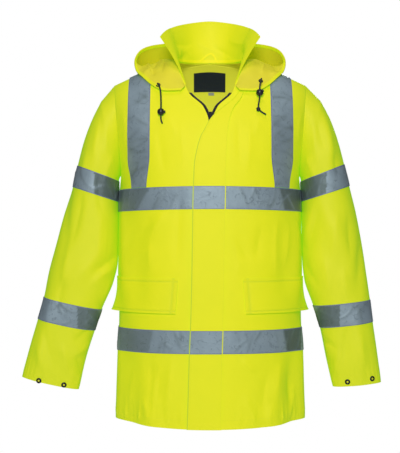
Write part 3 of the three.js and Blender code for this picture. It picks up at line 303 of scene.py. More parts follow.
# Sleeve rings from the armhole down, as ends seen from the front, middle y and half depth
SLEEVE_COLUMNS = "outer_x outer_z inner_x inner_z y half"
SLEEVE_RINGS = {
    "right": table(SLEEVE_COLUMNS, [
        [253, -93, 210, -268, 0, 69],
        [274.5, -137, 211.2, -271, 0, 75],
        [293, -188, 212, -274, 0, 78],
        [307, -242, 212.3, -278, 0, 78],
        [319, -291, 212.6, -326, 0, 77],
        [338, -354, 213, -389, -4, 74],
        [355, -421, 214, -461, -10, 70],
        [371.5, -486, 223, -509, -18, 64],
        [382, -544, 249.5, -573, -26, 56],
        [395, -593.5, 265, -621, -32, 50],
        [412, -655, 284.5, -684, -40, 42],
        [429.5, -725, 300, -754, -48, 30],
    ]),
    "left": table(SLEEVE_COLUMNS, [
        [256.5, -91, 210, -268, 0, 69],
        [279, -135, 211.2, -271, 0, 75],
        [297, -186, 212, -274, 0, 78],
        [311, -239, 212.4, -278, 0, 78],
        [323, -289, 212.8, -325, 0, 77],
        [338.5, -354, 213.2, -387, -4, 74],
        [350, -417, 214, -456, -10, 70],
        [359, -484, 218, -504, -18, 64],
        [367.5, -550, 237.5, -564, -26, 56],
        [373, -600, 252.5, -614, -32, 50],
        [381.5, -666, 266, -684.5, -40, 42],
        [390, -737, 280, -747.5, -48, 30],
    ]),
}
UPPER_BAND = (4, 5)
LOWER_BAND = (9, 10)
CUFF = 12

# Sleeve folds: around, tilt, place, length in rings, width, relief
SLEEVE_FOLDS = {
    "right": [
        (0.2, 0.03, 2.3, 1.6, 0.04, 4.5),
        (0.1, 0.05, 6.2, 1.3, 0.045, -5),
        (0.27, -0.06, 7.6, 1.2, 0.04, 5),
        (0.16, 0.02, 10.6, 1.8, 0.04, 4),
        (0.8, 0.04, 3, 2, 0.05, 5),
        (0.86, -0.05, 7.2, 1.5, 0.045, -5),
        (0.78, 0.03, 10.2, 1.8, 0.045, 4),
    ],
    "left": [
        (0.17, 0.03, 2.6, 1.5, 0.04, 4.5),
        (0.24, -0.05, 6.4, 1.4, 0.045, 5),
        (0.12, 0.05, 7.8, 1.2, 0.04, -5),
        (0.22, 0.02, 10.8, 1.6, 0.04, 4),
        (0.82, -0.04, 2.8, 2, 0.05, 5),
        (0.76, 0.05, 7, 1.5, 0.045, -5),
        (0.84, 0.02, 10.4, 1.8, 0.045, 4),
    ],
}

# Collar: a ring of the neck edge, the collar's top edge over it as x, y and z, and its lean
COLLAR_FRONT = [(13.5, 115, -50, 50, 9), (14, 112, -38, 57, 8), (15, 106, -20, 67, 6), (17, 99, 0, 76, 5)]
COLLAR_BACK = [(18, 93, 18, 82, 4), (17, 77, 42, 92, 3), (16, 45, 73, 104, 2), (15, 0, 88, 111, 2)]
COLLAR_LIFT = 0.6

# Hood: ring, then the places where it lies, is lowest, is furthest out, and its rim
HOOD_FRONT = [
    (13.5, (57, -92, -69), (60, -94, -73), (63, -95, -77), (66, -95, -81)),
    (14, (78, -84, -58), (88, -86, -66), (97, -88, -73), (107, -90, -80)),
    (15, (92, -62, -35), (105, -68, -46), (117, -74, -57), (129, -80, -68)),
    (16, (97, -30, -12), (116, -38, -22), (135, -48, -33), (153, -57, -45)),
    (17, (101, 0, 3), (126, -2, -6), (150, -12, -15), (171, -26, -24)),
]
HOOD_BACK = [
    (18, (105, 26, 10), (138, 44, -4), (164, 36, -8), (176, 6, 8)),
    (17, (94, 86, 8), (134, 122, -46), (166, 96, -48), (161, 36, 36)),
    (16, (56, 114, -14), (86, 162, -112), (124, 164, -78), (112, 78, 56)),
    (15, (0, 118, -28), (0, 172, -148), (0, 196, -96), (0, 124, 62)),
]
HOOD_OUT = 3.6
HOOD_LIFT = 1.5
HOOD_CLEAR = 5

# Storm flap: ring, free edge and sewn edge
STORM_FLAP = table("ring free sewn", [
    [0, -52, 23],
    [2.5, -46, 27],
    [5, -41, 31],
    [7, -38.5, 33.6],
    [8.4, -36.5, 34.5],
    [9.2, -31, 35.5],
    [10, -22.5, 37],
    [10.6, -11, 39],
    [11, -3.5, 41],
    [11.5, 10, 45],
    [12, 30, 53],
    [12.5, 50, 66],
    [13, 64, 74],
])

POCKET = {"top": 4.42, "bottom": 3.52, "inner": 71, "drop": 6, "outer": 0.975, "stand": 2.2, "corner": 14}
BRACE = {"foot": 7.02, "inner": 135, "outer": 185, "tuck_inner": 142, "tuck_outer": 176, "tuck_from": 9.2}
LABEL = {"half": 38.5, "low": 13.28, "high": 14.42, "wall": 0.7, "lift": 3.4}
SIZE_TAB = {"left": -3, "right": 11, "low": 13.06, "high": 13.24}
LOOP = {"left": -22, "right": 15, "apex": 3, "foot": 0.03, "top": 0.22, "width": 4, "wall": 1, "gap": 0.5}

# Cords: each route runs from its eyelet through the lock, and on the left through the knot
CORD_DIAMETER = 3.6
CORD_ROUTES = {
    "right": [
        (-117.3, -87.4, -64.8), (-118.0, -91.3, -62.7), (-117.8, -95.8, -62.2), (-116.4, -100.2, -64.4),
        (-114.2, -103.2, -69.2), (-112.2, -104.8, -76.5), (-111, -106.6, -86), (-110.4, -109.6, -97),
        (-110, -114.5, -108.5), (-110, -119.3, -119.8), (-110, -120.2, -128.5), (-110, -120.4, -137.2),
        (-110.2, -120.8, -143), (-109, -121.2, -149), (-106.8, -121.5, -154.5),
    ],
    "left": [
        (113.8, -81.4, -54.6), (114.4, -85.6, -51.8), (114.6, -90.4, -50.9), (113.8, -95, -53),
        (112.4, -98.8, -58), (110.9, -102.2, -66), (110, -104.6, -75.3), (110, -105.2, -84),
        (109.8, -105.9, -92.7), (109, -107.9, -100), (107.4, -111.5, -109), (106.4, -114.4, -116.2),
        (107.3, -115.2, -122), (110.4, -115.1, -125.6), (114.8, -115, -129), (119.4, -114.5, -131.6),
        (123.4, -114.5, -134),
    ],
}
LOCK_PLACE = {
    "right": ((-110, -120, -128.5), (1, 0, 0)),
    "left": ((110, -105, -84), (0.866, 0, 0.5)),
}
KNOT_PLACE = (106.3, -115, -122)

# Smooth tables, as the part's own source reads them


def even_slope(before, here, after):
    down = here - before
    up = after - here
    both = np.where(down * up > 0, down + up, 1.0)
    return np.where(down * up > 0, 2 * down * up / both, 0.0)


def read_table(tab, place):
    rows = tab["rows"]
    last = len(rows) - 1
    place = np.asarray(place, float)
    index = np.clip(np.floor(place).astype(int), 0, last - 1)
    f = (place - index)[..., None]
    start, end = rows[index], rows[index + 1]
    before = rows[np.maximum(index - 1, 0)]
    after = rows[np.minimum(index + 2, last)]
    slope_start = np.where((index > 0)[..., None], even_slope(before, start, end), end - start)
    slope_end = np.where((index + 2 <= last)[..., None], even_slope(start, end, after), end - start)
    blend = f * f * (3 - 2 * f)
    ease = f * (1 - f)
    value = start + (end - start) * blend + ease * ((1 - f) * slope_start - f * slope_end)
    return dict(zip(tab["names"], np.moveaxis(value, -1, 0)))


def read_at(tab, place):
    """Reads a table whose first column is its place, such as a ring number."""
    keys = tab["rows"][:, 0]
    place = np.asarray(place, float)
    index = np.clip(np.searchsorted(keys, place, side="left") - 1, 0, len(keys) - 2)
    f = (place - keys[index]) / (keys[index + 1] - keys[index])
    return read_table(tab, index + f)


def smooth_step(low, high, value):
    f = np.clip((value - low) / (high - low), 0, 1)
    return f * f * (3 - 2 * f)


def bell(distance):
    return np.exp(-distance * distance)


def unit(vectors):
    return vectors / np.maximum(np.linalg.norm(vectors, axis=-1, keepdims=True), 1e-12)


def run_along(points):
    """How far each point of a line lies from its first one, along the line."""
    return np.concatenate([[0], np.cumsum(np.linalg.norm(np.diff(points, axis=0), axis=1))])


def even_places(fine, points, length):
    """Places about length apart along a line, from fine places and the points that they stand for."""
    run = run_along(points)
    count = max(2, round(run[-1] / length) + 1)
    return np.interp(np.linspace(0, run[-1], count), run, fine)


def read_line(run, at, values):
    """The values of a line's points, read at other distances along it."""
    return np.stack([np.interp(at, run, values[:, axis]) for axis in range(3)], -1)


def side_power(value, square):
    return np.sign(value) * np.abs(value) ** (2 / square)


def catmull(points, t):
    """Centripetal curve through the points; points is (count, 3) or (count, places, 3)."""
    t = np.atleast_1d(np.asarray(t, float))
    points = np.asarray(points, float)
    if points.ndim == 2:
        points = np.repeat(points[:, None, :], len(t), axis=1)
    count = len(points)
    before = 2 * points[0] - points[1]
    after = 2 * points[-1] - points[-2]
    padded = np.concatenate([before[None], points, after[None]])
    place = np.clip(t, 0, 1) * (count - 1)
    index = np.minimum(np.floor(place).astype(int), count - 2)
    w = (place - index)[:, None]
    column = np.arange(len(t))
    p0, p1, p2, p3 = (padded[index + step, column] for step in range(4))
    steps = ((p0, p1), (p1, p2), (p2, p3))
    d0, d1, d2 = (np.sqrt(np.linalg.norm(b - a, axis=1, keepdims=True)) for a, b in steps)
    d1 = np.where(d1 < 1e-4, 1.0, d1)
    d0 = np.where(d0 < 1e-4, d1, d0)
    d2 = np.where(d2 < 1e-4, d1, d2)
    t1 = ((p1 - p0) / d0 - (p2 - p0) / (d0 + d1) + (p2 - p1) / d1) * d1
    t2 = ((p2 - p1) / d1 - (p3 - p1) / (d1 + d2) + (p3 - p2) / d2) * d1
    return p1 + t1 * w + (3 * (p2 - p1) - 2 * t1 - t2) * w ** 2 + (2 * (p1 - p2) + t1 + t2) * w ** 3


STEP = 0.002
FREE = 1e9


def normal_of(surface, a, b, outward, limits):
    """Normals of a surface at a and b, facing outward; limits are the lowest and highest a and b."""
    a_low, a_high, b_low, b_high = limits
    high_a = np.minimum(a + STEP, a_high)
    high_b = np.minimum(b + STEP, b_high)
    low_a = np.maximum(high_a - 2 * STEP, a_low)
    low_b = np.maximum(high_b - 2 * STEP, b_low)
    along_a = surface(high_a, b) - surface(low_a, b)
    along_b = surface(a, high_b) - surface(a, low_b)
    normal = unit(np.cross(along_a, along_b))
    facing = np.sum(normal * outward, axis=-1, keepdims=True)
    return np.where(facing < 0, -normal, normal)


# Creases: gain, how peaked a crease is, how much wider its gentle side is, and how its ends fade
CREASE_GAIN = 1.6
CREASE_SHARPNESS = 1.3
GENTLE_SIDE = 1.8
CREASE_RISES = (-0.12, 0.35)
CREASE_FALLS = (0.6, 1.12)


def crease_relief(creases, x, z):
    """Height of the listed creases over the places x, z of a view from front or back."""
    relief = np.zeros_like(x)
    for x0, z0, x1, z1, bow, width, height in creases:
        dx, dz = x1 - x0, z1 - z0
        length = math.hypot(dx, dz)
        along = ((x - x0) * dx + (z - z0) * dz) / length ** 2
        across = ((x - x0) * dz - (z - z0) * dx) / length - 4 * bow * along * (1 - along)
        steep = math.copysign(1, bow)
        spread = np.where(across * steep > 0, width, GENTLE_SIDE * width)
        ends = smooth_step(*CREASE_RISES, along) * (1 - smooth_step(*CREASE_FALLS, along))
        relief += height * ends * np.exp(-np.abs(across / spread) ** CREASE_SHARPNESS)
    return CREASE_GAIN * relief


# The body's outer face

FRONT = {"rings": FRONT_RINGS, "folds": FRONT_FOLDS, "creases": FRONT_CREASES, "turn": -1}
BACK = {"rings": BACK_RINGS, "folds": BACK_FOLDS, "creases": BACK_CREASES, "turn": 1}
SIGNS = {"right": -1, "left": 1}


def ring_angles(ring):
    edge = np.arccos(np.maximum(ring["share"], 0) ** (BODY_SQUARE / 2))
    spread = ring["edge_x"] / np.sin(edge) ** (2 / BODY_SQUARE)
    start = np.arcsin((np.maximum(ring["open"], 0) / spread) ** (BODY_SQUARE / 2))
    return start, edge, spread


def bare_body(face, sign, u, place):
    ring = read_table(face["rings"], place)
    start, edge, spread = ring_angles(ring)
    angle = np.maximum(start + (edge - start) * u, 0)
    x = spread * np.sin(angle) ** (2 / BODY_SQUARE)
    y = ring["depth"] * np.maximum(np.cos(angle), 0) ** (2 / BODY_SQUARE)
    rise = np.maximum((x - ring["open"]) / (ring["edge_x"] - ring["open"]), 0) ** ring["ramp"]
    return np.stack([sign * x, face["turn"] * y, ring["z"] + (ring["edge_z"] - ring["z"]) * rise], -1)


def place_across(face, x, place):
    ring = read_table(face["rings"], place)
    start, edge, spread = ring_angles(ring)
    angle = np.arcsin(np.minimum((np.abs(x) / spread) ** (BODY_SQUARE / 2), 1))
    return (angle - start) / (edge - start)


def body_outward(face, point):
    y = 2 * point[..., 1] + 0.2 * face["turn"]
    return np.stack([point[..., 0], y, np.full_like(y, 60.0)], -1)


# Folds keep clear of the free edge and the side seam
FOLDS_RISE = (0.16, 0.3)
FOLDS_FALL = (0.9, 1)


def fold_relief(face, sign, u, height):
    relief = np.zeros_like(height)
    for side, crest, drift, top, bottom, width, lift in face["folds"]:
        along = (top - height) / (top - bottom)
        ends = smooth_step(0, 0.3, along) * (1 - smooth_step(0.7, 1, along))
        same = np.where(sign == side, 1.0, 0.0)
        relief += same * lift * ends * bell((u - crest - drift * along) / width)
    return relief * smooth_step(*FOLDS_RISE, u) * (1 - smooth_step(*FOLDS_FALL, u))


# The dip of a sewn seam: its depth and half width
SEAM_DIP = 1.0
SEAM_SPREAD = 4.5


def seam_dip(distance):
    return -SEAM_DIP * bell(distance / SEAM_SPREAD)


# Gathers above the hem: uneven small puckers, each with its place, lean, length and lift
PUCKERS = np.random.default_rng(11).uniform(size=(60, 4))
PUCKER_FOOT = 22
PUCKER_LEAN = 0.0006
PUCKER_WIDTH = 0.008
PUCKER_GAIN = 0.8


def pucker_relief(u, height, hem):
    relief = np.zeros_like(height)
    for place, lean, length, lift in PUCKERS:
        above = height - hem - PUCKER_FOOT
        crest = place + (lean - 0.5) * PUCKER_LEAN * above
        fade = np.exp(-np.maximum(above, 0) / (12 + 26 * length)) * smooth_step(-16, -2, above)
        relief += (0.5 + 0.9 * lift) * fade * bell((u - crest) / PUCKER_WIDTH)
    return relief


# Where the small creases fade out, as shares across a panel
FREE_EDGE = (0.1, 0.2)
SIDE_SEAM = (0.93, 1)
# How far the body's side swells towards the sleeve above the pockets, and where, as share and heights
SIDE_SWELL = 4.2
SWELL_FROM = 0.82
SWELL_TOP = (-262, -330)
SWELL_FOOT = (-480, -560)
# The armhole's seam, as share and heights, and the distance that a whole share stands for
ARM_SEAM = (0.94, 1)
ARM_SEAM_TOP = (-78, -60)
HALF_BODY = 210


def body_at(face, sign, u, place):
    """Points and normals of the body at places u across and rings up; sign may be an array."""
    u, place, sign = np.broadcast_arrays(*(np.asarray(value, float) for value in (u, place, sign)))
    limits = (-FREE, 1, -FREE, len(face["rings"]["rows"]) - 1)

    def bare(a, b):
        return bare_body(face, sign, a, b)

    point = bare(u, place)
    normal = normal_of(bare, u, place, body_outward(face, point), limits)
    x, z = point[..., 0], point[..., 2]
    relief = fold_relief(face, sign, u, z)
    inner = smooth_step(*FREE_EDGE, u) if face is FRONT else 1.0
    seam = 1 - smooth_step(*SIDE_SEAM, u)
    hem = read_table(face["rings"], 0 * place)
    creases = crease_relief(face["creases"], x, z)
    puckers = pucker_relief(u, z, hem["z"] + (hem["edge_z"] - hem["z"]) * u ** 2)
    relief = relief + (creases + PUCKER_GAIN * puckers) * inner * seam
    swell = smooth_step(*SWELL_TOP, z) * (1 - smooth_step(*SWELL_FOOT, z))
    relief = relief + SIDE_SWELL * swell * smooth_step(SWELL_FROM, 1, u)
    sewn = smooth_step(*ARM_SEAM, u) * (1 - smooth_step(*ARM_SEAM_TOP, z))
    relief = relief + seam_dip((1 - u) * HALF_BODY) * sewn
    return point + normal * relief[..., None], normal


def body_at_x(face, x, place):
    x, place = np.broadcast_arrays(np.asarray(x, float), np.asarray(place, float))
    sign = np.where(x < 0, -1.0, 1.0)
    return body_at(face, sign, place_across(face, x, place), place)


def set_back(point, neighbour, distance=SEAM_GAP / 2):
    return point + unit(neighbour - point) * distance


# Closed cloth shells


def new_object(name, mesh, material, body="jacket"):
    obj = bpy.data.objects.new(name, mesh)
    scene.collection.objects.link(obj)
    for one in material if isinstance(material, (list, tuple)) else [material]:
        mesh.materials.append(one)
    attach(obj, body)
    return obj


def shade(mesh, angle=50):
    mesh.polygons.foreach_set("use_smooth", np.ones(len(mesh.polygons), dtype=bool))
    mesh.set_sharp_from_angle(angle=math.radians(angle))


def grid_faces(outer, normals, wrap):
    """Four-cornered faces over a grid of points, turned to face along its normals."""
    rows, columns = normals.shape[:2]
    ids = np.arange(rows * columns).reshape(rows, columns)
    after = np.roll(ids, -1, axis=1) if wrap else ids[:, 1:]
    here = ids if wrap else ids[:, :-1]
    quads = np.stack([here[:-1], after[:-1], after[1:], here[1:]], -1).reshape(-1, 4)
    p = outer[quads]
    facing = np.cross(p[:, 2] - p[:, 0], p[:, 3] - p[:, 1])
    if np.sum(facing * normals.reshape(-1, 3)[quads[:, 0]]) < 0:
        quads = quads[:, ::-1]
    return quads


def wall_faces(quads, count):
    """The faces that join an outer grid of count points to the inner one, round its edges."""
    edges = np.concatenate([quads[:, [i, (i + 1) % 4]] for i in range(4)])
    keys = edges[:, 0].astype(np.int64) * count + edges[:, 1]
    back = edges[:, 1].astype(np.int64) * count + edges[:, 0]
    rim = edges[~np.isin(keys, back)]
    return np.stack([rim[:, 1], rim[:, 0], rim[:, 0] + count, rim[:, 1] + count], -1)


def cloth_uvs(points, faces, wrap, across):
    """A UV for each corner of each face, in metres along the cloth."""
    step_u = np.linalg.norm(np.diff(points, axis=1), axis=2).mean(axis=0)
    step_v = np.linalg.norm(np.diff(points, axis=0), axis=2).mean(axis=1)
    u = np.concatenate([[0], np.cumsum(step_u)]) * MM
    v = np.concatenate([[0], np.cumsum(step_v)]) * MM
    if across:
        v = v / v[-1]
    uv = np.stack(np.broadcast_arrays(u[None, :], v[:, None]), -1).reshape(-1, 2)
    uv = np.concatenate([uv, uv])[faces.reshape(-1)].reshape(-1, 4, 2)
    if wrap:
        jump = uv[:, :, 0].max(axis=1) - uv[:, :, 0].min(axis=1) > u[-1] / 2
        turn = u[-1] + step_u.mean() * MM
        wrapped = uv[jump]
        wrapped[:, :, 0] += np.where(wrapped[:, :, 0] < u[-1] / 2, turn, 0)
        uv[jump] = wrapped
    return uv


def shell(name, points, normals, low, high, materials, wrap=False, across=False, tone=None):
    """A closed wall over a grid of points. Its UVs are metres along the cloth, or with across set
    V runs from 0 to 1 over the rows. Material 0 is the outer face and 1, if given, the inner one.
    The points' painted shade, from 0 to 1, darkens them where shade or shadow falls."""
    rows, columns = points.shape[:2]
    low = np.broadcast_to(np.asarray(low, float), (rows, columns))[..., None]
    high = np.broadcast_to(np.asarray(high, float), (rows, columns))[..., None]
    outer = (points + normals * high).reshape(-1, 3)
    inner = (points + normals * low).reshape(-1, 3)
    count = rows * columns
    quads = grid_faces(outer, normals, wrap)
    faces = np.concatenate([quads, quads[:, ::-1] + count, wall_faces(quads, count)])
    mesh = bpy.data.meshes.new(name)
    mesh.from_pydata((np.concatenate([outer, inner]) * MM).tolist(), [], faces.tolist())
    layer = mesh.uv_layers.new(name="cloth")
    layer.data.foreach_set("uv", cloth_uvs(points, faces, wrap, across).reshape(-1))
    if tone is not None:
        shade_marks = mesh.attributes.new("tone", "FLOAT", "POINT")
        flat = np.broadcast_to(tone, (rows, columns)).reshape(-1)
        shade_marks.data.foreach_set("value", np.concatenate([flat, flat]).astype(np.float32))
    if isinstance(materials, (list, tuple)) and len(materials) > 1:
        index = np.zeros(len(faces), dtype=np.int32)
        index[len(quads):2 * len(quads)] = 1
        mesh.polygons.foreach_set("material_index", index)
    shade(mesh)
    return new_object(name, mesh, materials)


SEWN_ON = {}


def cloth(piece):
    """Gives back a sheet of cloth as it is."""
    return piece


def trim(piece, carrier):
    """Notes a piece that is sewn on a sheet of cloth."""
    SEWN_ON.setdefault(carrier, []).append(piece)
    return piece


BODY_STEPS = 600


def even_rows(face, sign, low, high, length, u=0.5, extra=()):
    """Rings between two ring numbers, evenly spaced by their distance along the cloth."""
    fine = np.linspace(low, high, BODY_STEPS)
    rows = even_places(fine, bare_body(face, sign, np.full_like(fine, u), fine), length)
    return np.unique(np.concatenate([rows, np.array(extra, float)]))


# Effects that several finishes share, each a node group


def effect_group(name, inputs, output):
    """A node group with number inputs beside its Place, and one number as its output."""
    group = bpy.data.node_groups.new(name, "ShaderNodeTree")
    group.interface.new_socket(name="Place", in_out="INPUT", socket_type="NodeSocketVector")
    for label, value in inputs.items():
        socket = group.interface.new_socket(name=label, in_out="INPUT", socket_type="NodeSocketFloat")
        socket.default_value = value
    group.interface.new_socket(name=output, in_out="OUTPUT", socket_type="NodeSocketFloat")
    return group, group.nodes.new("NodeGroupInput"), group.nodes.new("NodeGroupOutput")


def add(tree, kind, **settings):
    """A node with its sockets or properties set by name."""
    node = tree.nodes.new(kind)
    for key, value in settings.items():
        if key in node.inputs:
            node.inputs[key].default_value = value
        else:
            setattr(node, key, value)
    return node


def weave_group():
    """Threads over and under each other, as a height."""
    group, start, end = effect_group("thread_weave", {"Scale": 420.0}, "Height")
    threads = add(group, "ShaderNodeMath", operation="MAXIMUM")
    for slot, direction in enumerate("XY"):
        wave = add(group, "ShaderNodeTexWave", bands_direction=direction)
        group.links.new(start.outputs["Place"], wave.inputs["Vector"])
        group.links.new(start.outputs["Scale"], wave.inputs["Scale"])
        group.links.new(wave.outputs["Fac"], threads.inputs[slot])
    group.links.new(threads.outputs["Value"], end.inputs["Height"])
    return group


def crumple_group():
    """Small uneven dents of handled cloth, as a height."""
    group, start, end = effect_group("soft_crumple", {"Scale": 26.0, "Twist": 0.3}, "Height")
    noise = add(group, "ShaderNodeTexNoise", Detail=4.0, Roughness=0.5)
    group.links.new(start.outputs["Place"], noise.inputs["Vector"])
    group.links.new(start.outputs["Scale"], noise.inputs["Scale"])
    group.links.new(start.outputs["Twist"], noise.inputs["Distortion"])
    group.links.new(noise.outputs["Fac"], end.inputs["Height"])
    return group


def clouding_group():
    """Large soft clouds, as a mask for two tones of one colour."""
    group, start, end = effect_group("tone_clouds", {"Scale": 7.0}, "Mask")
    noise = add(group, "ShaderNodeTexNoise", Detail=3.0, Roughness=0.55)
    spread = add(group, "ShaderNodeMapRange", interpolation_type="SMOOTHSTEP")
    spread.inputs["From Min"].default_value = 0.32
    spread.inputs["From Max"].default_value = 0.68
    group.links.new(start.outputs["Place"], noise.inputs["Vector"])
    group.links.new(start.outputs["Scale"], noise.inputs["Scale"])
    group.links.new(noise.outputs["Fac"], spread.inputs["Value"])
    group.links.new(spread.outputs["Result"], end.inputs["Mask"])
    return group


WEAVE = weave_group()
CRUMPLE = crumple_group()
CLOUDS = clouding_group()

# Materials


class Finish:
    """A material under construction: its tree, its shader and a few ways to join nodes."""

    def __init__(self, name):
        self.material = bpy.data.materials.new(name)
        self.material.use_nodes = True
        self.tree = self.material.node_tree
        self.shader = next(node for node in self.tree.nodes if node.type == "BSDF_PRINCIPLED")
        self.place = add(self.tree, "ShaderNodeTexCoord")
        self.normal = None

    def join(self, source, target):
        self.tree.links.new(source, target)

    def effect(self, group, output, space="Object", **values):
        node = add(self.tree, "ShaderNodeGroup", node_tree=group)
        self.join(self.place.outputs[space], node.inputs["Place"])
        for key, value in values.items():
            node.inputs[key].default_value = value
        return node.outputs[output]

    def blend(self, mask, first, second):
        """A colour between two, each a plain colour or another node's output."""
        mix = add(self.tree, "ShaderNodeMix", data_type="RGBA")
        self.join(mask, mix.inputs["Factor"])
        for source, target in ((first, mix.inputs["A"]), (second, mix.inputs["B"])):
            if isinstance(source, tuple):
                target.default_value = (*source, 1)
            else:
                self.join(source, target)
        return mix.outputs["Result"]

    def paint(self, colour):
        self.join(colour, self.shader.inputs["Base Color"])

    def tone(self):
        """How far each point of the piece is painted towards its colour of painted shade."""
        return add(self.tree, "ShaderNodeAttribute", attribute_name="tone").outputs["Fac"]

    def bump(self, height, strength, distance):
        node = add(self.tree, "ShaderNodeBump", Strength=strength, Distance=distance)
        self.join(height, node.inputs["Height"])
        if self.normal:
            self.join(self.normal, node.inputs["Normal"])
        self.normal = node.outputs["Normal"]
        self.join(self.normal, self.shader.inputs["Normal"])

    def plain(self, **values):
        for key, value in values.items():
            self.shader.inputs[key.replace("_", " ")].default_value = value
        return self.material


WEAVE_STRENGTH = 0.2
OLIVE_SHADE = (0.5, 0.3, 0.02)


def cloth_material(name, colour, deep, glow, shade=OLIVE_SHADE):
    """Coated woven cloth: an even weave and faint clouding. glow is painted light, an even emission that
    stands in for the fluorescent dye's glow, and shade is the colour of each piece's painted shade."""
    finish = Finish(name)
    clouded = finish.blend(finish.effect(CLOUDS, "Mask"), deep, colour)
    finish.paint(finish.blend(finish.tone(), clouded, shade))
    finish.bump(finish.effect(CRUMPLE, "Height", Scale=24.0), 0.3, 0.0016)
    finish.bump(finish.effect(WEAVE, "Height", "UV"), WEAVE_STRENGTH, 0.0002)
    return finish.plain(Roughness=0.6, Specular_IOR_Level=0.22, Emission_Color=(*glow, 1),
                        Emission_Strength=1.0)


# Colours of the reflective tape, with the painted shade of its crinkles and its darker stretches, and where
# its woven edge starts, as a share of its width
SILVER_DEEP = (0.215, 0.28, 0.325)
SILVER = (0.26, 0.335, 0.385)
SILVER_CRINKLE_SHADE = (0.12, 0.16, 0.185)
SILVER_SHADE = (0.07, 0.1, 0.085)
LILAC_EDGE = (0.16, 0.18, 0.36)
EDGE_FROM, EDGE_TO = 0.462, 0.478


def tape_material():
    """Retroreflective tape: fine beads over grey cloth, crinkled, with painted shade along its crinkles and
    stretches and a lilac woven edge.
    """
    finish = Finish("reflective_tape")
    split = add(finish.tree, "ShaderNodeSeparateXYZ")
    finish.join(finish.place.outputs["UV"], split.inputs["Vector"])
    middle = add(finish.tree, "ShaderNodeMath", operation="SUBTRACT")
    middle.inputs[1].default_value = 0.5
    finish.join(split.outputs["Y"], middle.inputs[0])
    away = add(finish.tree, "ShaderNodeMath", operation="ABSOLUTE")
    finish.join(middle.outputs["Value"], away.inputs[0])
    edge = add(finish.tree, "ShaderNodeMapRange", interpolation_type="SMOOTHSTEP")
    edge.inputs["From Min"].default_value = EDGE_FROM
    edge.inputs["From Max"].default_value = EDGE_TO
    finish.join(away.outputs["Value"], edge.inputs["Value"])
    silver = finish.blend(finish.effect(CLOUDS, "Mask", Scale=16.0), SILVER_DEEP, SILVER)
    creased = finish.effect(CRUMPLE, "Height", Scale=75.0, Twist=1.6)
    # Painted shade along the crinkles, from the same noise that bumps them
    shade_marks = add(finish.tree, "ShaderNodeMapRange", interpolation_type="SMOOTHSTEP")
    shade_marks.inputs["From Min"].default_value = 0.56
    shade_marks.inputs["From Max"].default_value = 0.68
    shade_marks.inputs["To Max"].default_value = 0.5
    finish.join(creased, shade_marks.inputs["Value"])
    crinkled = finish.blend(shade_marks.outputs["Result"], silver, SILVER_CRINKLE_SHADE)
    shaded_silver = finish.blend(finish.tone(), crinkled, SILVER_SHADE)
    finish.paint(finish.blend(edge.outputs["Result"], shaded_silver, LILAC_EDGE))
    finish.bump(creased, 0.5, 0.0012)
    beads = add(finish.tree, "ShaderNodeTexVoronoi", Scale=2600.0)
    finish.join(finish.place.outputs["Object"], beads.inputs["Vector"])
    finish.bump(beads.outputs["Distance"], 0.15, 0.0001)
    return finish.plain(Metallic=0.25, Roughness=0.52, Specular_IOR_Level=0.3)


def mesh_lining_material():
    """Knitted mesh: small holes in slanting rows over a darker ground, with a painted glow from an even
    emission.
    """
    finish = Finish("mesh_lining")
    turn = add(finish.tree, "ShaderNodeMapping")
    turn.inputs["Rotation"].default_value = (0, 0, math.radians(45))
    finish.join(finish.place.outputs["UV"], turn.inputs["Vector"])
    holes = add(finish.tree, "ShaderNodeTexVoronoi", Scale=330.0, Randomness=0.12)
    finish.join(turn.outputs["Vector"], holes.inputs["Vector"])
    rows = add(finish.tree, "ShaderNodeMapRange", interpolation_type="SMOOTHSTEP")
    rows.inputs["From Min"].default_value = 0.15
    rows.inputs["From Max"].default_value = 0.45
    finish.join(holes.outputs["Distance"], rows.inputs["Value"])
    finish.paint(finish.blend(rows.outputs["Result"], (0.42, 0.4, 0.03), (0.7, 0.68, 0.05)))
    finish.bump(holes.outputs["Distance"], 0.5, 0.0005)
    return finish.plain(Roughness=0.8, Specular_IOR_Level=0.2, Emission_Color=(0.10, 0.115, 0.004, 1),
                        Emission_Strength=1.0)


def grained_material(name, colour, lighter, roughness, scale, strength, metallic=0.0, glow=(0, 0, 0)):
    """Plastic, thread or coated metal with a faint grain in colour and surface; glow, if given, is painted
    light, an even emission.
    """
    finish = Finish(name)
    grain = finish.effect(CRUMPLE, "Height", Scale=scale)
    finish.paint(finish.blend(grain, colour, lighter))
    finish.bump(grain, strength, 0.0003)
    return finish.plain(Roughness=roughness, Metallic=metallic, Emission_Color=(*glow, 1),
                        Emission_Strength=1.0)


def braid_material():
    """Round cord with a slanting braid."""
    finish = Finish("black_braid")
    strands = add(finish.tree, "ShaderNodeTexWave", Scale=260.0, Distortion=1.5, bands_direction="DIAGONAL")
    finish.join(finish.place.outputs["Object"], strands.inputs["Vector"])
    finish.paint(finish.blend(strands.outputs["Fac"], (0.006, 0.006, 0.007), (0.03, 0.03, 0.034)))
    finish.bump(strands.outputs["Fac"], 0.8, 0.0005)
    return finish.plain(Roughness=0.75)


# Painted glow: an even green emission standing for the cloth's fluorescence, which keeps its shaded sides
# green
GLOW = (0.05, 0.345, 0.003)
NO_GLOW = (0, 0, 0)
BLACK = (0, 0, 0)
YELLOW = cloth_material("hi_vis_cloth", (0.765, 0.45, 0.008), (0.735, 0.435, 0.008), GLOW)
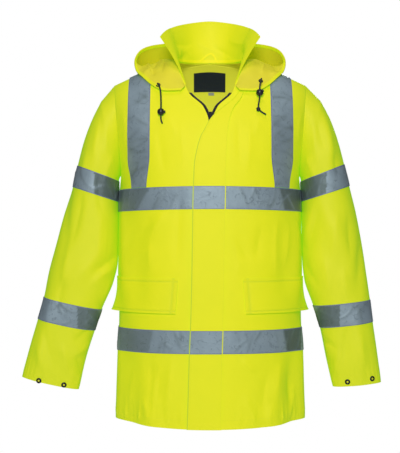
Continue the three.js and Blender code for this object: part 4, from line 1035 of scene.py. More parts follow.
# The hood's inner face: a darker, duller copy of the cloth with little glow, painted as the shade inside
# the hood
SHADED_INSIDE = cloth_material("hi_vis_cloth_inside", (0.76, 0.62, 0.03), (0.66, 0.54, 0.03), (0.04, 0.09, 0.0))
BINDING = cloth_material("yellow_binding", (0.86, 0.52, 0.01), (0.82, 0.49, 0.01), (0.09, 0.34, 0.0))
REFLECTIVE = tape_material()
MESH_LINING = mesh_lining_material()
LABEL_NAVY = cloth_material("navy_label", (0.013, 0.019, 0.034), (0.009, 0.014, 0.026), NO_GLOW, BLACK)
TAB_CLOTH = cloth_material("grey_tab", (0.34, 0.36, 0.36), (0.28, 0.3, 0.3), NO_GLOW, (0.1, 0.1, 0.1))
ZIP_CLOTH = cloth_material("black_zip_tape", (0.011, 0.011, 0.012), (0.008, 0.008, 0.009), NO_GLOW, BLACK)
BLACK_PLASTIC = grained_material("black_plastic", (0.006, 0.006, 0.007), (0.014, 0.014, 0.016),
                                 0.38, 300, 0.2)
BLACK_METAL = grained_material("black_metal", (0.008, 0.008, 0.009), (0.022, 0.022, 0.025),
                               0.32, 500, 0.25, 0.5)
# The stud centre and the yellow thread carry a painted glow
STUD_CENTRE = grained_material("stud_centre", (0.62, 0.5, 0.01), (0.72, 0.6, 0.02), 0.45, 400, 0.2,
                               glow=(0.02, 0.12, 0))
THREAD = grained_material("yellow_thread", (0.62, 0.36, 0.01), (0.8, 0.46, 0.02), 0.7, 900, 0.5,
                          glow=(0, 0.3, 0))
BLACK_THREAD = grained_material("black_thread", (0.01, 0.012, 0.016), (0.03, 0.034, 0.04), 0.7, 900, 0.5)
TAPE_THREAD = grained_material("tape_thread", (0.15, 0.18, 0.33), (0.26, 0.3, 0.48), 0.6, 900, 0.5)
BRAID = braid_material()


def keep(obj, slot, *replaced):
    """Hides the CAD nodes that a piece stands for, and gives the piece back. slot is not used."""
    if replaced:
        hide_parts(*replaced)
    return obj


# Front and back panels


def panel_grid(face, sign, rows, columns):
    u, place = np.meshgrid(columns, rows)
    points, normals = body_at(face, sign, u, place)
    top = len(face["rings"]["rows"]) - 1
    if columns[-1] == 1:
        points[:, -1] = set_back(points[:, -1], points[:, -2])
    if rows[-1] == top:
        points[-1] = set_back(points[-1], points[-2])
        normals[-1, :, 1] = 0
        normals[-1] = unit(normals[-1])
    return points, normals


def whole_back(rows, columns):
    """The back from side to side: the grids of its two halves, joined at the middle."""
    right, left = (panel_grid(BACK, sign, rows, columns) for sign in (-1, 1))
    return tuple(np.concatenate([one[:, ::-1][:, :-1], other], axis=1) for one, other in zip(right, left))


# Painted shade: the cloth is painted darker at the sides and on the sleeves, as if less lit
SIDE_PAINTED_SHADE = 0.3
SIDE_SHADE_FROM = 0.35
SLEEVE_PAINTED_SHADE = 0.36
PANEL_COLUMNS = 84
FRONT_TOP = len(FRONT_RINGS["rows"]) - 1
BACK_TOP = len(BACK_RINGS["rows"]) - 1

columns = np.linspace(0, 1, PANEL_COLUMNS)
for side, sign in SIGNS.items():
    rows = even_rows(FRONT, sign, 0, FRONT_TOP, GRID)
    points, normals = panel_grid(FRONT, sign, rows, columns)
    tone = SIDE_PAINTED_SHADE * smooth_step(SIDE_SHADE_FROM, 1, columns)[None, :]
    panel = shell(f"front_panel_{side}", points, normals, -CLOTH, 0, [YELLOW, MESH_LINING], tone=tone)
    keep(cloth(panel), "cloth", f"front_{side}")

points, normals = whole_back(even_rows(BACK, 1, 0, BACK_NECK, GRID), columns)
back = shell("back_panel", points, normals, -CLOTH, 0, [YELLOW, MESH_LINING])
keep(cloth(back), "cloth", "back")
yoke_rows = even_rows(BACK, 1, BACK_NECK, BACK_TOP, GRID)
for side, sign in SIGNS.items():
    points, normals = panel_grid(BACK, sign, yoke_rows, columns)
    yoke = shell(f"back_shoulder_{side}", points, normals, -CLOTH, 0, [YELLOW, MESH_LINING])
    keep(cloth(yoke), "cloth")

# Sleeves: where the folds start, how far round they reach, and how far a face must turn to count
SLEEVE_STEPS = 400
MEASURED_AT = 0.12
FOLD_START = (0.6, 1.6)
CREASE_START = (0.5, 1.5)
FOLD_REACH = 0.36
TURNED = (0.05, 0.5)
CUFF_SEAM = 11.75
CUFF_FADE = 0.35
CUFF_PUCKER = 0.5
SLEEVE_COLUMN_COUNT = 120


def armhole(sign, around):
    around = np.mod(around, 1)
    front = around <= 0.5
    half = len(FRONT_ARMHOLE) - 1
    along = np.where(front, around, 1 - around) * 2 * half
    index = np.arange(half + 1)
    front_place = np.interp(along, index, FRONT_ARMHOLE)
    back_place = np.interp(along, index, BACK_ARMHOLE)
    front_points, front_normals = body_at(FRONT, sign, 1.0, front_place)
    back_points, back_normals = body_at(BACK, sign, 1.0, back_place)
    pick = front[..., None]
    return np.where(pick, front_points, back_points), np.where(pick, front_normals, back_normals)


def sleeve_ring(side, place, around):
    sign = SIGNS[side]
    ring = read_table(SLEEVE_RINGS[side], place)
    angle = 2 * np.pi * around
    along = side_power(np.cos(angle), SLEEVE_SQUARE)
    x = (ring["outer_x"] + ring["inner_x"]) / 2 + (ring["outer_x"] - ring["inner_x"]) / 2 * along
    z = (ring["outer_z"] + ring["inner_z"]) / 2 + (ring["outer_z"] - ring["inner_z"]) / 2 * along
    y = ring["y"] - ring["half"] * side_power(np.sin(angle), SLEEVE_SQUARE)
    return np.stack([sign * x, y, z], -1)


def sleeve_relief(side, around, place):
    relief = np.zeros_like(around)
    for crest, tilt, at, length, width, height in SLEEVE_FOLDS[side]:
        line = crest + tilt * (place - at)
        relief += height * bell((place - at) / length * 1.4) * bell((around - line) / width)
    free = np.abs(np.mod(around + 0.5, 1) - 0.5) < FOLD_REACH
    return relief * smooth_step(*FOLD_START, place) * free


def sleeve_at(side, around, place):
    around, place = np.broadcast_arrays(np.asarray(around, float), np.asarray(place, float))
    sign = SIGNS[side]

    def bare(a, b):
        ring = sleeve_ring(side, np.maximum(b - 1, 0), a)
        seam = armhole(sign, a)[0]
        share = np.clip(b, 0, 1)[..., None]
        return seam * (1 - share) + ring * share

    point = bare(around, place)
    ring = read_table(SLEEVE_RINGS[side], np.maximum(place - 1, 0))
    middle = np.stack([sign * (ring["outer_x"] + ring["inner_x"]) / 2, ring["y"],
                       (ring["outer_z"] + ring["inner_z"]) / 2], -1)
    normal = normal_of(bare, around, place, point - middle, (-FREE, FREE, 0, CUFF))
    relief = sleeve_relief(side, around, place)
    facing = normal[..., 1]
    x, z = point[..., 0], point[..., 2]
    in_front = smooth_step(*TURNED, -facing) * crease_relief(SLEEVE_FRONT_CREASES, x, z)
    behind = smooth_step(*TURNED, facing) * crease_relief(SLEEVE_BACK_CREASES, x, z)
    cuff = np.exp(-np.maximum(CUFF_SEAM - place, 0) / CUFF_FADE) * smooth_step(CUFF, CUFF - 0.2, place)
    puckers = cuff * np.sin(2 * np.pi * (23 * around + 1.3 * np.sin(9 * around))) * CUFF_PUCKER
    small = (in_front + behind + puckers) * smooth_step(*CREASE_START, place)
    return point + normal * (relief + small)[..., None], normal


def sleeve_rows(side, low, high):
    fine = np.linspace(low, high, SLEEVE_STEPS)
    return even_places(fine, sleeve_at(side, np.full_like(fine, MEASURED_AT), fine)[0], GRID)


for side, sign in SIGNS.items():
    around, place = np.meshgrid(np.linspace(0, 1, SLEEVE_COLUMN_COUNT, endpoint=False),
                                sleeve_rows(side, 0, CUFF))
    points, normals = sleeve_at(side, around, place)
    points[0] = set_back(points[0], points[1])
    sleeve = shell(f"sleeve_cloth_{side}", points, normals, -CLOTH, 0, [YELLOW, MESH_LINING], wrap=True,
                   tone=SLEEVE_PAINTED_SHADE)
    keep(cloth(sleeve), "cloth", f"sleeve_front_{side}", f"sleeve_back_{side}")

# Reflective tape: stiff, so it crinkles, and darker where it turns from the light

# Seed and number of the small folds of each length of tape
CRINKLES = {
    "chest_front_right": (21, 16), "chest_front_left": (22, 16), "chest_back": (23, 26),
    "lower_front_right": (24, 14), "lower_front_left": (25, 14), "lower_back": (26, 26),
    "upper_right": (27, 26), "upper_left": (28, 26), "lower_right": (29, 20), "lower_left": (30, 20),
    "brace_right": (31, 90), "brace_left": (32, 90),
}
# Stretches of painted shade where the tape turns from the light, as seen from the front: from x to x, how
# far the top edge leans, and strength
TAPE_SHADES = {
    "chest_front_right": [(-205, -150, 15, 0.5)],
    "chest_front_left": [(161, 205, 6, 0.75)],
    "lower_front_right": [(-205, -134, 5, 0.4)],
    "lower_front_left": [(168, 205, 4, 0.8)],
    "upper_right": [(-262, -205, 8, 0.75)],
    "upper_left": [(205, 262, 8, 0.75)],
    "lower_right": [(-300, -250, 10, 0.6)],
    "lower_left": [(240, 292, 10, 0.7)],
}
SHORT_FOLD = 12
LONG_FOLD = 24
FOLD_SPREAD = 3.0
MOST_RELIEF = 1.4
HALF_TAPE = 25
STIFF_EDGE = 5
JOIN = 12
TAPE_ROWS = 24
BAND_COLUMNS = 150
BODY_TAPE_COLUMNS = 115


def crinkle_relief(name, along, across, height=1.0):
    """Small sharp folds of the tape, over places along it and across it in millimetres."""
    seed, count = CRINKLES[name]
    run = along.max()
    relief = np.zeros_like(along)
    for place, off, turn, length, lift, bend in np.random.default_rng(seed).uniform(size=(count, 6)):
        angle = math.pi / 2 + (turn - 0.5) * 2.0
        ds = along - place * run
        dt = across - (off - 0.5) * 2.4 * HALF_TAPE
        ahead = ds * math.cos(angle) + dt * math.sin(angle)
        aside = dt * math.cos(angle) - ds * math.sin(angle) + (bend - 0.5) * ahead ** 2 / 40
        ends = bell(ahead / (SHORT_FOLD + LONG_FOLD * length))
        peak = np.exp(-np.abs(aside / FOLD_SPREAD) ** CREASE_SHARPNESS)
        relief += height * (0.3 + 0.7 * lift) * ends * peak
    return np.minimum(relief, MOST_RELIEF * height)


def shade_of(name, x, across):
    """How dark the tape is painted at each place, from its listed painted shades."""
    tone = np.zeros_like(x)
    for low, high, point, strength in TAPE_SHADES.get(name, []):
        turn = -1 if high < 0 else 1
        near, far = sorted((abs(low), abs(high)))
        inner = near - point * across / HALF_TAPE
        inside = smooth_step(inner - 6, inner + 2, turn * x) * (turn * x < far)
        tone = np.maximum(tone, strength * inside)
    return tone


def tape(name, node, points, normals, lift, free=1.0, wrap=False, height=1.0):
    """One length of tape over a grid whose rows run across it."""
    step = np.linalg.norm(np.diff(points, axis=1), axis=2).mean(axis=0)
    along = np.concatenate([[0], np.cumsum(step)])[None, :] + np.zeros(points.shape[:2])
    across = np.linspace(-HALF_TAPE, HALF_TAPE, len(points))[:, None] + np.zeros(points.shape[:2])
    relief = np.zeros_like(along)
    if name in CRINKLES:
        relief = crinkle_relief(name, along, across, height) * free
        relief *= 1 - 0.7 * smooth_step(HALF_TAPE - STIFF_EDGE, HALF_TAPE, np.abs(across))
    if wrap:
        relief *= smooth_step(0, JOIN, along) * smooth_step(0, JOIN, along.max() - along)
    facing_front = normals[..., 1] < 0.2
    # Painted shade on the stretches of tape that face the front
    tone = shade_of(name, points[..., 0], across) * facing_front
    # Painted shade along the crinkles, and painted light along them within the shaded stretches
    tone = np.clip(tone * (1 - 0.6 * relief) + 0.3 * relief * (1 - tone), 0, 1)
    raised = points + normals * relief[..., None]
    piece = shell(f"{name}_band", raised, normals, lift, lift + TAPE, REFLECTIVE, wrap=wrap, across=True,
                  tone=tone)
    keep(cloth(piece), "reflective_tape", node)


BODY_TAPES = {"chest": CHEST_TAPE, "lower": LOWER_TAPE}
SLEEVE_TAPES = {"upper": UPPER_BAND, "lower": LOWER_BAND}
for side in SIGNS:
    for band, (low, high) in SLEEVE_TAPES.items():
        around, place = np.meshgrid(np.linspace(0, 1, BAND_COLUMNS, endpoint=False),
                                    np.linspace(low, high, TAPE_ROWS))
        points, normals = sleeve_at(side, around, place)
        tape(f"{band}_{side}", f"sleeve_tape_{band}_{side}", points, normals, TAPE_LIFT, wrap=True)

# The storm flap, and the tape round the body


def flap_grid(rows, columns):
    edge = read_at(STORM_FLAP, rows)
    x = edge["free"][:, None] + (edge["sewn"] - edge["free"])[:, None] * columns[None, :]
    return body_at_x(FRONT, x, np.repeat(rows[:, None], len(columns), axis=1))


# How far its free edge turns up, over what distance, its usual width, and the width of the painted shadow
# line along its free edge
FLAP_CURL = 1.4
CURL_SPREAD = 7.0
FLAP_WIDTH = 75
FLAP_SHADOW_LINE = 2.2
TAPE_INSET = 0.028
CLEAR_OF_FLAP = (48, 62)
FLAP_COLUMNS = np.concatenate([[0, 0.012, 0.022, 0.04, 0.065, 0.095], np.linspace(0.13, 1, 22)])


def flap_curl(columns):
    """How far the flap's free edge turns up."""
    return FLAP_CURL * np.exp(-columns * FLAP_WIDTH / CURL_SPREAD)


for band, (low, high) in BODY_TAPES.items():
    rows = np.linspace(low, high, TAPE_ROWS)
    columns = np.linspace(0, 1, BODY_TAPE_COLUMNS)
    for side, sign in SIGNS.items():
        points, normals = panel_grid(FRONT, sign, rows, columns)
        clear = smooth_step(*CLEAR_OF_FLAP, np.abs(points[..., 0]))
        tape(f"{band}_front_{side}", f"{band}_tape_front_{side}", points, normals, TAPE_LIFT, free=clear)
    tape(f"{band}_back", f"{band}_tape_back", *whole_back(rows, columns), TAPE_LIFT)
    inset = FLAP_COLUMNS * (1 - 2 * TAPE_INSET) + TAPE_INSET
    points, normals = flap_grid(rows, inset)
    points = points + normals * flap_curl(inset)[None, :, None]
    tape(f"{band}_flap", f"{band}_tape_flap", points, normals, FLAP_LIFT + CLOTH + TAPE_LIFT)

rows = even_rows(FRONT, 1, 0, V_TOP, 3.0, u=0.1, extra=np.linspace(9, 13, 60))
points, normals = flap_grid(rows, FLAP_COLUMNS)
points = points + normals * flap_curl(FLAP_COLUMNS)[None, :, None]
# Painted shadow: a dark line along the flap's free edge, where it stands off the front
edge_painted_shadow = np.where(FLAP_COLUMNS * FLAP_WIDTH < FLAP_SHADOW_LINE, 1.0, 0.0)[None, :]
flap = shell("storm_flap_cloth", points, normals, FLAP_LIFT, FLAP_LIFT + CLOTH, YELLOW, tone=edge_painted_shadow)
keep(cloth(flap), "cloth", "storm_flap")

# Pocket flaps: their seams as shares, the cloth's depth and width, and how a seam sinks in
POCKET_SEAMS = {"rows": (0.09, 0.92), "share": (0.04, 0.96)}
POCKET_DEEP = 70
POCKET_WIDE = 130
SEAM_SINKS = 0.7
SEAM_HALF = 1.7
# Painted shade darkens the sunk seam lines of the pocket flaps
SEAM_PAINTED_SHADE = 0.4
POCKET_CORNER_FROM = 0.75


def sewn_line(places, seams, length):
    """1 on each of the seams, falling off over a few millimetres; length is that of the whole span."""
    return np.max([bell((places - seam) * length / SEAM_HALF) for seam in seams], axis=0)


def pocket_lift(f, u):
    corner = POCKET["corner"] * smooth_step(POCKET_CORNER_FROM, 1, u)
    return POCKET_LIFT + f * f * (POCKET["stand"] + corner)


def pocket_grid(sign, rows, share):
    """share runs from the inner edge, 0, to the outer one, 1."""
    inner_x = POCKET["inner"] + POCKET["drop"] * rows
    inner = place_across(FRONT, inner_x, np.full_like(rows, POCKET["top"]))
    u = inner[:, None] + (POCKET["outer"] - inner)[:, None] * share[None, :]
    f = np.repeat(rows[:, None], len(share), axis=1)
    place = POCKET["top"] + (POCKET["bottom"] - POCKET["top"]) * f
    points, normals = body_at(FRONT, sign, u, place)
    return points, normals, pocket_lift(f, u)


for side, sign in SIGNS.items():
    rows, share = np.linspace(0, 1, 60), np.linspace(0, 1, 90)
    points, normals, lift = pocket_grid(sign, rows, share)
    seams = np.maximum(sewn_line(rows, POCKET_SEAMS["rows"], POCKET_DEEP)[:, None],
                       sewn_line(share, POCKET_SEAMS["share"], POCKET_WIDE)[None, :])
    high = lift + CLOTH - SEAM_SINKS * seams
    pocket = shell(f"pocket_flap_cloth_{side}", points, normals, lift, high, YELLOW, tone=SEAM_PAINTED_SHADE * seams)
    keep(cloth(pocket), "cloth", f"pocket_flap_{side}")

# Brace tapes over the shoulders


BRACE_SHARE = 0.62
UNDER_HOOD = (-95, -75)


def brace_grid(sign, columns):
    front = even_rows(FRONT, sign, BRACE["foot"], FRONT_TOP, GRID, u=BRACE_SHARE)
    back = even_rows(BACK, sign, BRACE["foot"], BACK_TOP, GRID, u=BRACE_SHARE)[:-1][::-1]
    grids = []
    for face, rows in ((FRONT, front), (BACK, back)):
        tuck = smooth_step(BRACE["tuck_from"], CHEST_TAPE[1], rows) if face is FRONT else 0 * rows
        inner = BRACE["inner"] + (BRACE["tuck_inner"] - BRACE["inner"]) * tuck
        outer = BRACE["outer"] + (BRACE["tuck_outer"] - BRACE["outer"]) * tuck
        x = sign * (inner[:, None] + (outer - inner)[:, None] * columns[None, :])
        grids.append(body_at_x(face, x, np.repeat(rows[:, None], len(columns), axis=1)))
    points = np.concatenate([grids[0][0], grids[1][0]])
    normals = np.concatenate([grids[0][1], grids[1][1]])
    return points, normals


for side, sign in SIGNS.items():
    points, normals = brace_grid(sign, np.linspace(0, 1, TAPE_ROWS))
    points, normals = points.swapaxes(0, 1), normals.swapaxes(0, 1)
    free = 1 - smooth_step(*UNDER_HOOD, points[..., 2])
    tape(f"brace_{side}", f"brace_tape_{side}", points, normals, BRACE_LIFT, free=free, height=1.1)

# Collar


def neck_edge(face, sign, ring):
    return body_at(face, sign, 0.0, float(ring))[0]


def neck_sections(front_rows, back_rows):
    sections = []
    for sign in (-1, 1):
        half = [(FRONT, sign, *row) for row in front_rows] + [(BACK, sign, *row) for row in back_rows]
        sections.extend(half if sign < 0 else half[::-1][1:])
    return sections


COLLAR_SECTIONS = neck_sections(COLLAR_FRONT, COLLAR_BACK)
collar_foot = np.array([neck_edge(face, sign, ring) + [0, 0, COLLAR_LIFT]
                        for face, sign, ring, *_ in COLLAR_SECTIONS])
collar_top = np.array([(sign * x, y, z) for _, sign, _, x, y, z, _ in COLLAR_SECTIONS])
collar_lean = np.array([section[6] for section in COLLAR_SECTIONS], float)


def collar_point(along, up):
    """The collar's wall, smooth round the neck; along counts its sections."""
    last = len(COLLAR_SECTIONS) - 1
    along, up = np.broadcast_arrays(np.asarray(along, float), np.asarray(up, float))
    shape = along.shape
    t = along.reshape(-1) / last
    foot = catmull(collar_foot, t)
    top = catmull(collar_top, t)
    lean = np.interp(along.reshape(-1), np.arange(last + 1), collar_lean)
    height = up.reshape(-1, 1)
    inward = -foot * [1, 1, 0]
    point = foot + (top - foot) * height + unit(inward) * lean[:, None] * 4 * height * (1 - height)
    return point.reshape(*shape, 3)


# The collar's creases fade out at its foot, by height, and towards the front, by y
COLLAR_FOOT = (0.02, 0.25)
COLLAR_SIDES = (-30, 0)


def collar_at(along, up):
    along, up = np.broadcast_arrays(np.asarray(along, float), np.asarray(up, float))
    point = collar_point(along, up)
    outward = point * [1, 1, 0]
    normal = normal_of(collar_point, along, up, outward, (0, len(COLLAR_SECTIONS) - 1, 0, 1))
    relief = crease_relief(NECK_CREASES, point[..., 0], point[..., 2])
    relief = relief * smooth_step(*COLLAR_FOOT, up) * smooth_step(*COLLAR_SIDES, point[..., 1])
    return point - normal * relief[..., None], normal


collar_along, collar_up = np.meshgrid(np.linspace(0, len(COLLAR_SECTIONS) - 1, 160), np.linspace(0, 1, 44))
points, normals = collar_at(collar_along, collar_up)
collar = shell("collar_cloth", points, normals, -CLOTH, 0, YELLOW)
keep(cloth(collar), "cloth", "collar")

# The tape that binds the neck seam, inside the collar
BINDING_TOP = 0.075
BINDING_WALL = 0.35
BINDING_GAP = 0.1
binding_along, binding_up = np.meshgrid(np.linspace(2.6, len(COLLAR_SECTIONS) - 3.6, 120),
                                        np.linspace(0.005, BINDING_TOP, 5))
points, normals = collar_at(binding_along, binding_up)
binding_face = -CLOTH - BINDING_GAP
binding = shell("neck_seam_binding", points, normals, binding_face - BINDING_WALL, binding_face, BINDING)
keep(trim(binding, "collar_cloth"), "cloth")

# Hood


def body_under(x, y):
    face = BACK if y > 0 else FRONT
    low, high = 8.0, len(face["rings"]["rows"]) - 1.0
    for _ in range(24):
        middle = (low + high) / 2
        if abs(body_at_x(face, x, middle)[0][1]) > abs(y):
            low = middle
        else:
            high = middle
    return body_at_x(face, x, (low + high) / 2)


# A place this far forward or back hangs free of the body
BEHIND_BODY = 115.2


def clear_of_body(stop, lift):
    if abs(stop[1]) > BEHIND_BODY:
        return stop
    point, normal = body_under(stop[0], stop[1])
    height = float(np.dot(stop - point, normal))
    return stop + normal * (lift - height) if height < lift else stop


def hood_stops(face, ring, places):
    start = neck_edge(face, 1, ring)
    start = start + unit(start * [1, 1, 0]) * HOOD_OUT
    point, normal = body_under(start[0], start[1])
    return [point + normal * HOOD_LIFT] + [clear_of_body(np.array(p, float), HOOD_CLEAR) for p in places]


HOOD_SECTIONS = ([np.array(hood_stops(FRONT, ring, places)) for ring, *places in HOOD_FRONT]
                 + [np.array(hood_stops(BACK, ring, places)) for ring, *places in HOOD_BACK])


def hood_point(sign, along, out):
    along, out = np.broadcast_arrays(np.asarray(along, float), np.asarray(out, float))
    shape = along.shape
    stops = np.array([catmull(section, out.reshape(-1)) for section in HOOD_SECTIONS])
    point = catmull(stops, along.reshape(-1))
    return point.reshape(*shape, 3) * [sign, 1, 1]


# A place well inside the hood, which its normals face: forward at the front end, and up
INSIDE_FORWARD = 60
INSIDE_UP = 60
INSIDE_UP_LESS = 50
# Where the creases of the front and the back of the hood show, by y, and how they fade at the edges
HOOD_FRONT_Y = (60, 10)
HOOD_BACK_Y = (70, 110)
HOOD_FOOT = (0.05, 0.3)
HOOD_RIM = (0.9, 1)
HOOD_MIDDLE = (0.96, 1)


def hood_inside(sign, along):
    flat = along.reshape(-1)
    lie = catmull(np.array([section[1] for section in HOOD_SECTIONS]), flat)
    rim = catmull(np.array([section[4] for section in HOOD_SECTIONS]), flat)
    inside = (lie + rim) / 2
    inside[:, 1] -= INSIDE_FORWARD * (1 - flat)
    inside[:, 2] += INSIDE_UP - INSIDE_UP_LESS * flat
    return inside.reshape(*along.shape, 3) * [sign, 1, 1]


def hood_at(sign, along, out):
    """Points and normals of the hood; the normals face its inside."""
    along, out = np.broadcast_arrays(np.asarray(along, float), np.asarray(out, float))

    def surface(a, b):
        return hood_point(sign, a, b)

    point = surface(along, out)
    normal = normal_of(surface, along, out, hood_inside(sign, along) - point, (0, 1, 0, 1))
    x, y, z = np.moveaxis(point, -1, 0)
    front = crease_relief(HOOD_CREASES, x, z) * smooth_step(*HOOD_FRONT_Y, y)
    behind = crease_relief(HOOD_BACK_CREASES, x, z) * smooth_step(*HOOD_BACK_Y, y)
    relief = (front - behind) * smooth_step(*HOOD_FOOT, out) * (1 - smooth_step(*HOOD_RIM, out))
    relief = relief * (1 - smooth_step(*HOOD_MIDDLE, along))
    return point + normal * relief[..., None], normal


# The hem turned in along the hood's rim
HEM_WIDE = 7.0
HEM_WALL = 0.9
HEM_GAP = 0.1
RIM_END = 0.999


def rim_place(along, inward):
    """Where on the hood a place lies that is inward, in millimetres, from the rim."""
    outer, rim = (catmull(np.array([section[stop] for section in HOOD_SECTIONS]), along.reshape(-1))
                  for stop in (3, 4))
    length = np.linalg.norm(rim - outer, axis=1).reshape(along.shape)
    return RIM_END - inward / (4 * length)


for side, sign in SIGNS.items():
    along, out = np.meshgrid(np.linspace(0, 1, 100), np.linspace(0, 1, 70))
    points, normals = hood_at(sign, along, out)
    points[:, -1] = set_back(points[:, -1], points[:, -2])
    normals[:, -1, 0] = 0
    normals[:, -1] = unit(normals[:, -1])
    hood = shell(f"hood_cloth_{side}", points, normals, 0, HOOD_WALL, [SHADED_INSIDE, YELLOW])
    keep(cloth(hood), "cloth", f"hood_{side}")
    along, inward = np.meshgrid(np.linspace(0, RIM_END, 100), np.linspace(HEM_WIDE, 0, 6))
    points, normals = hood_at(sign, along, rim_place(along, inward))
    low = HOOD_WALL + HEM_GAP
    rim = shell(f"hood_rim_hem_{side}", points, normals, low, low + HEM_WALL, YELLOW)
    keep(trim(rim, f"hood_cloth_{side}"), "cloth")

# Neck lining, label, size tab and hanging loop

LINING_FACE = -CLOTH - SEAM_GAP
LINING_REACH = 0.4
LINING_FOOT = 11
u = np.linspace(-LINING_REACH, LINING_REACH, 60)
rows = even_rows(BACK, 1, LINING_FOOT, BACK_NECK, GRID)
place = np.repeat(rows[:, None], len(u), axis=1)
points, normals = body_at(BACK, np.sign(u + 1e-9)[None, :], np.abs(u)[None, :], place)
lining = shell("neck_lining_mesh", points, normals, LINING_FACE - LINING, LINING_FACE, MESH_LINING)
keep(cloth(lining), "lining", "neck_lining")


def label_piece(name, left, right, low, high, material, slot, node, carrier):
    rows = np.linspace(low, high, 20)
    x, place = np.meshgrid(np.linspace(left, right, 24), rows)
    points, normals = body_at_x(BACK, x, place)
    piece = shell(name, points, normals, -LABEL["lift"] - LABEL["wall"], -LABEL["lift"], material)
    return keep(trim(piece, carrier), slot, node)


label_piece("neck_label_cloth", -LABEL["half"], LABEL["half"], LABEL["low"], LABEL["high"],
            LABEL_NAVY, "label", "neck_label", "neck_lining_mesh")
label_piece("size_tab_cloth", SIZE_TAB["left"], SIZE_TAB["right"], SIZE_TAB["low"], SIZE_TAB["high"],
            TAB_CLOTH, "size_tab", "size_tab", "neck_lining_mesh")


def hanging_loop():
    centre = (len(COLLAR_SECTIONS) - 1) / 2
    per_x = 1 / BACK_RINGS["rows"][BACK_NECK + 1][1]
    height = COLLAR_BACK[-1][3]
    stops = np.array([
        (LOOP["left"], LOOP["foot"] * height, 0),
        (LOOP["left"] * 0.55, LOOP["top"] * 0.62 * height, 0),
        (LOOP["apex"], LOOP["top"] * height, 0),
        (LOOP["right"] * 0.8, LOOP["top"] * 0.62 * height, 0),
        (LOOP["right"], LOOP["foot"] * height, 0),
    ])
    path = catmull(stops, np.linspace(0, 1, 40))
    tangent = unit(np.gradient(path, axis=0))
    across = np.stack([-tangent[:, 1], tangent[:, 0]], -1)
    edge = np.linspace(-0.5, 0.5, 5) * LOOP["width"]
    spots = path[:, None, :2] + across[:, None, :] * edge[None, :, None]
    points, normals = collar_at(centre + spots[..., 0] * per_x, spots[..., 1] / height)
    face = -CLOTH - LOOP["gap"]
    loop = shell("hanging_loop_cloth", points, normals, face - LOOP["wall"], face, BINDING)
    return trim(loop, "collar_cloth")


keep(hanging_loop(), "cloth", "hanging_loop")

# Floor, light and camera

FLOOR_HEIGHT = -1.6
FLOOR_HALF = 2.6
ROOM_LIGHT = 0.12
WHITE = (1, 1, 1, 1)

# The camera's place, and its focal length and the photograph's height in the photograph's pixels
CAMERA_PLACE = (-0.0233, -2.5, -0.383)
FOCAL_PIXELS = 1073
PHOTO_HEIGHT = 453
SENSOR = 36.0


def pale_floor():
    mesh = bpy.data.meshes.new("floor")
    half = FLOOR_HALF
    corners = [(-half, -half), (half, -half), (half, half), (-half, half)]
    mesh.from_pydata([(x, y, FLOOR_HEIGHT) for x, y in corners], [], [(0, 1, 2, 3)])
    pale = grained_material("pale_floor", (0.8, 0.8, 0.8), (0.84, 0.84, 0.84), 0.8, 20, 0.05)
    mesh.materials.append(pale)
    floor = bpy.data.objects.new("floor", mesh)
    scene.collection.objects.link(floor)


def white_room():
    """A white background that lights the jacket less than it shows itself."""
    world = bpy.data.worlds.new("white_room")
    scene.world = world
    world.use_nodes = True
    tree = world.node_tree
    lighting = next(node for node in tree.nodes if node.type == "BACKGROUND")
    lighting.inputs["Color"].default_value = WHITE
    lighting.inputs["Strength"].default_value = ROOM_LIGHT
    seen = add(tree, "ShaderNodeBackground", Color=WHITE, Strength=1.0)
    path = add(tree, "ShaderNodeLightPath")
    choose = add(tree, "ShaderNodeMixShader")
    output = next(node for node in tree.nodes if node.type == "OUTPUT_WORLD")
    tree.links.new(path.outputs["Is Camera Ray"], choose.inputs[0])
    tree.links.new(lighting.outputs[0], choose.inputs[1])
    tree.links.new(seen.outputs[0], choose.inputs[2])
    tree.links.new(choose.outputs[0], output.inputs["Surface"])


def area_light(name, place, target, size, power):
    light = bpy.data.lights.new(name, "AREA")
    light.shape = "DISK"
    light.size = size
    light.energy = power
    obj = bpy.data.objects.new(name, light)
    scene.collection.objects.link(obj)
    obj.location = place
    obj.rotation_euler = (Vector(target) - Vector(place)).to_track_quat("-Z", "Y").to_euler()


def front_camera():
    data = bpy.data.cameras.new("camera")
    data.sensor_width = SENSOR
    data.lens = FOCAL_PIXELS / PHOTO_HEIGHT * SENSOR
    camera = bpy.data.objects.new("camera", data)
    scene.collection.objects.link(camera)
    camera.location = CAMERA_PLACE
    camera.rotation_euler = (math.radians(90), 0, 0)
    scene.camera = camera
    scene.view_settings.view_transform = "Standard"


pale_floor()
white_room()
area_light("front_soft", (-0.15, -3.2, 0.75), (0, 0, -0.4), 1.0, 80)
area_light("top_soft", (0.1, -0.6, 2.2), (0, 0, -0.3), 1.0, 14)
area_light("back_soft", (0.5, 3.2, 0.7), (0, 0, -0.4), 1.4, 80)
front_camera()

# Cords, cord locks and knot


ROUTE_STEPS = 400
CORD_POINTS = 36


def resample(points, count):
    path = catmull(np.array(points, float), np.linspace(0, 1, ROUTE_STEPS))
    run = run_along(path)
    return read_line(run, np.linspace(0, run[-1], count), path), run[-1]


def cord_piece(side):
    path, length = resample(CORD_ROUTES[side], CORD_POINTS)
    curve = bpy.data.curves.new(f"hood_cord_{side}", "CURVE")
    curve.dimensions = "3D"
    curve.bevel_depth = CORD_DIAMETER / 2 * MM
    curve.bevel_resolution = 4
    curve.use_fill_caps = True
    spline = curve.splines.new("POLY")
    spline.points.add(len(path) - 1)
    for point, place in zip(spline.points, path):
        point.co = (*(place * MM), 1)
    spline.use_smooth = True
    curve.materials.append(BRAID)
    obj = bpy.data.objects.new(f"hood_cord_{side}", curve)
    scene.collection.objects.link(obj)
    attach(obj, "jacket")
    return obj, length


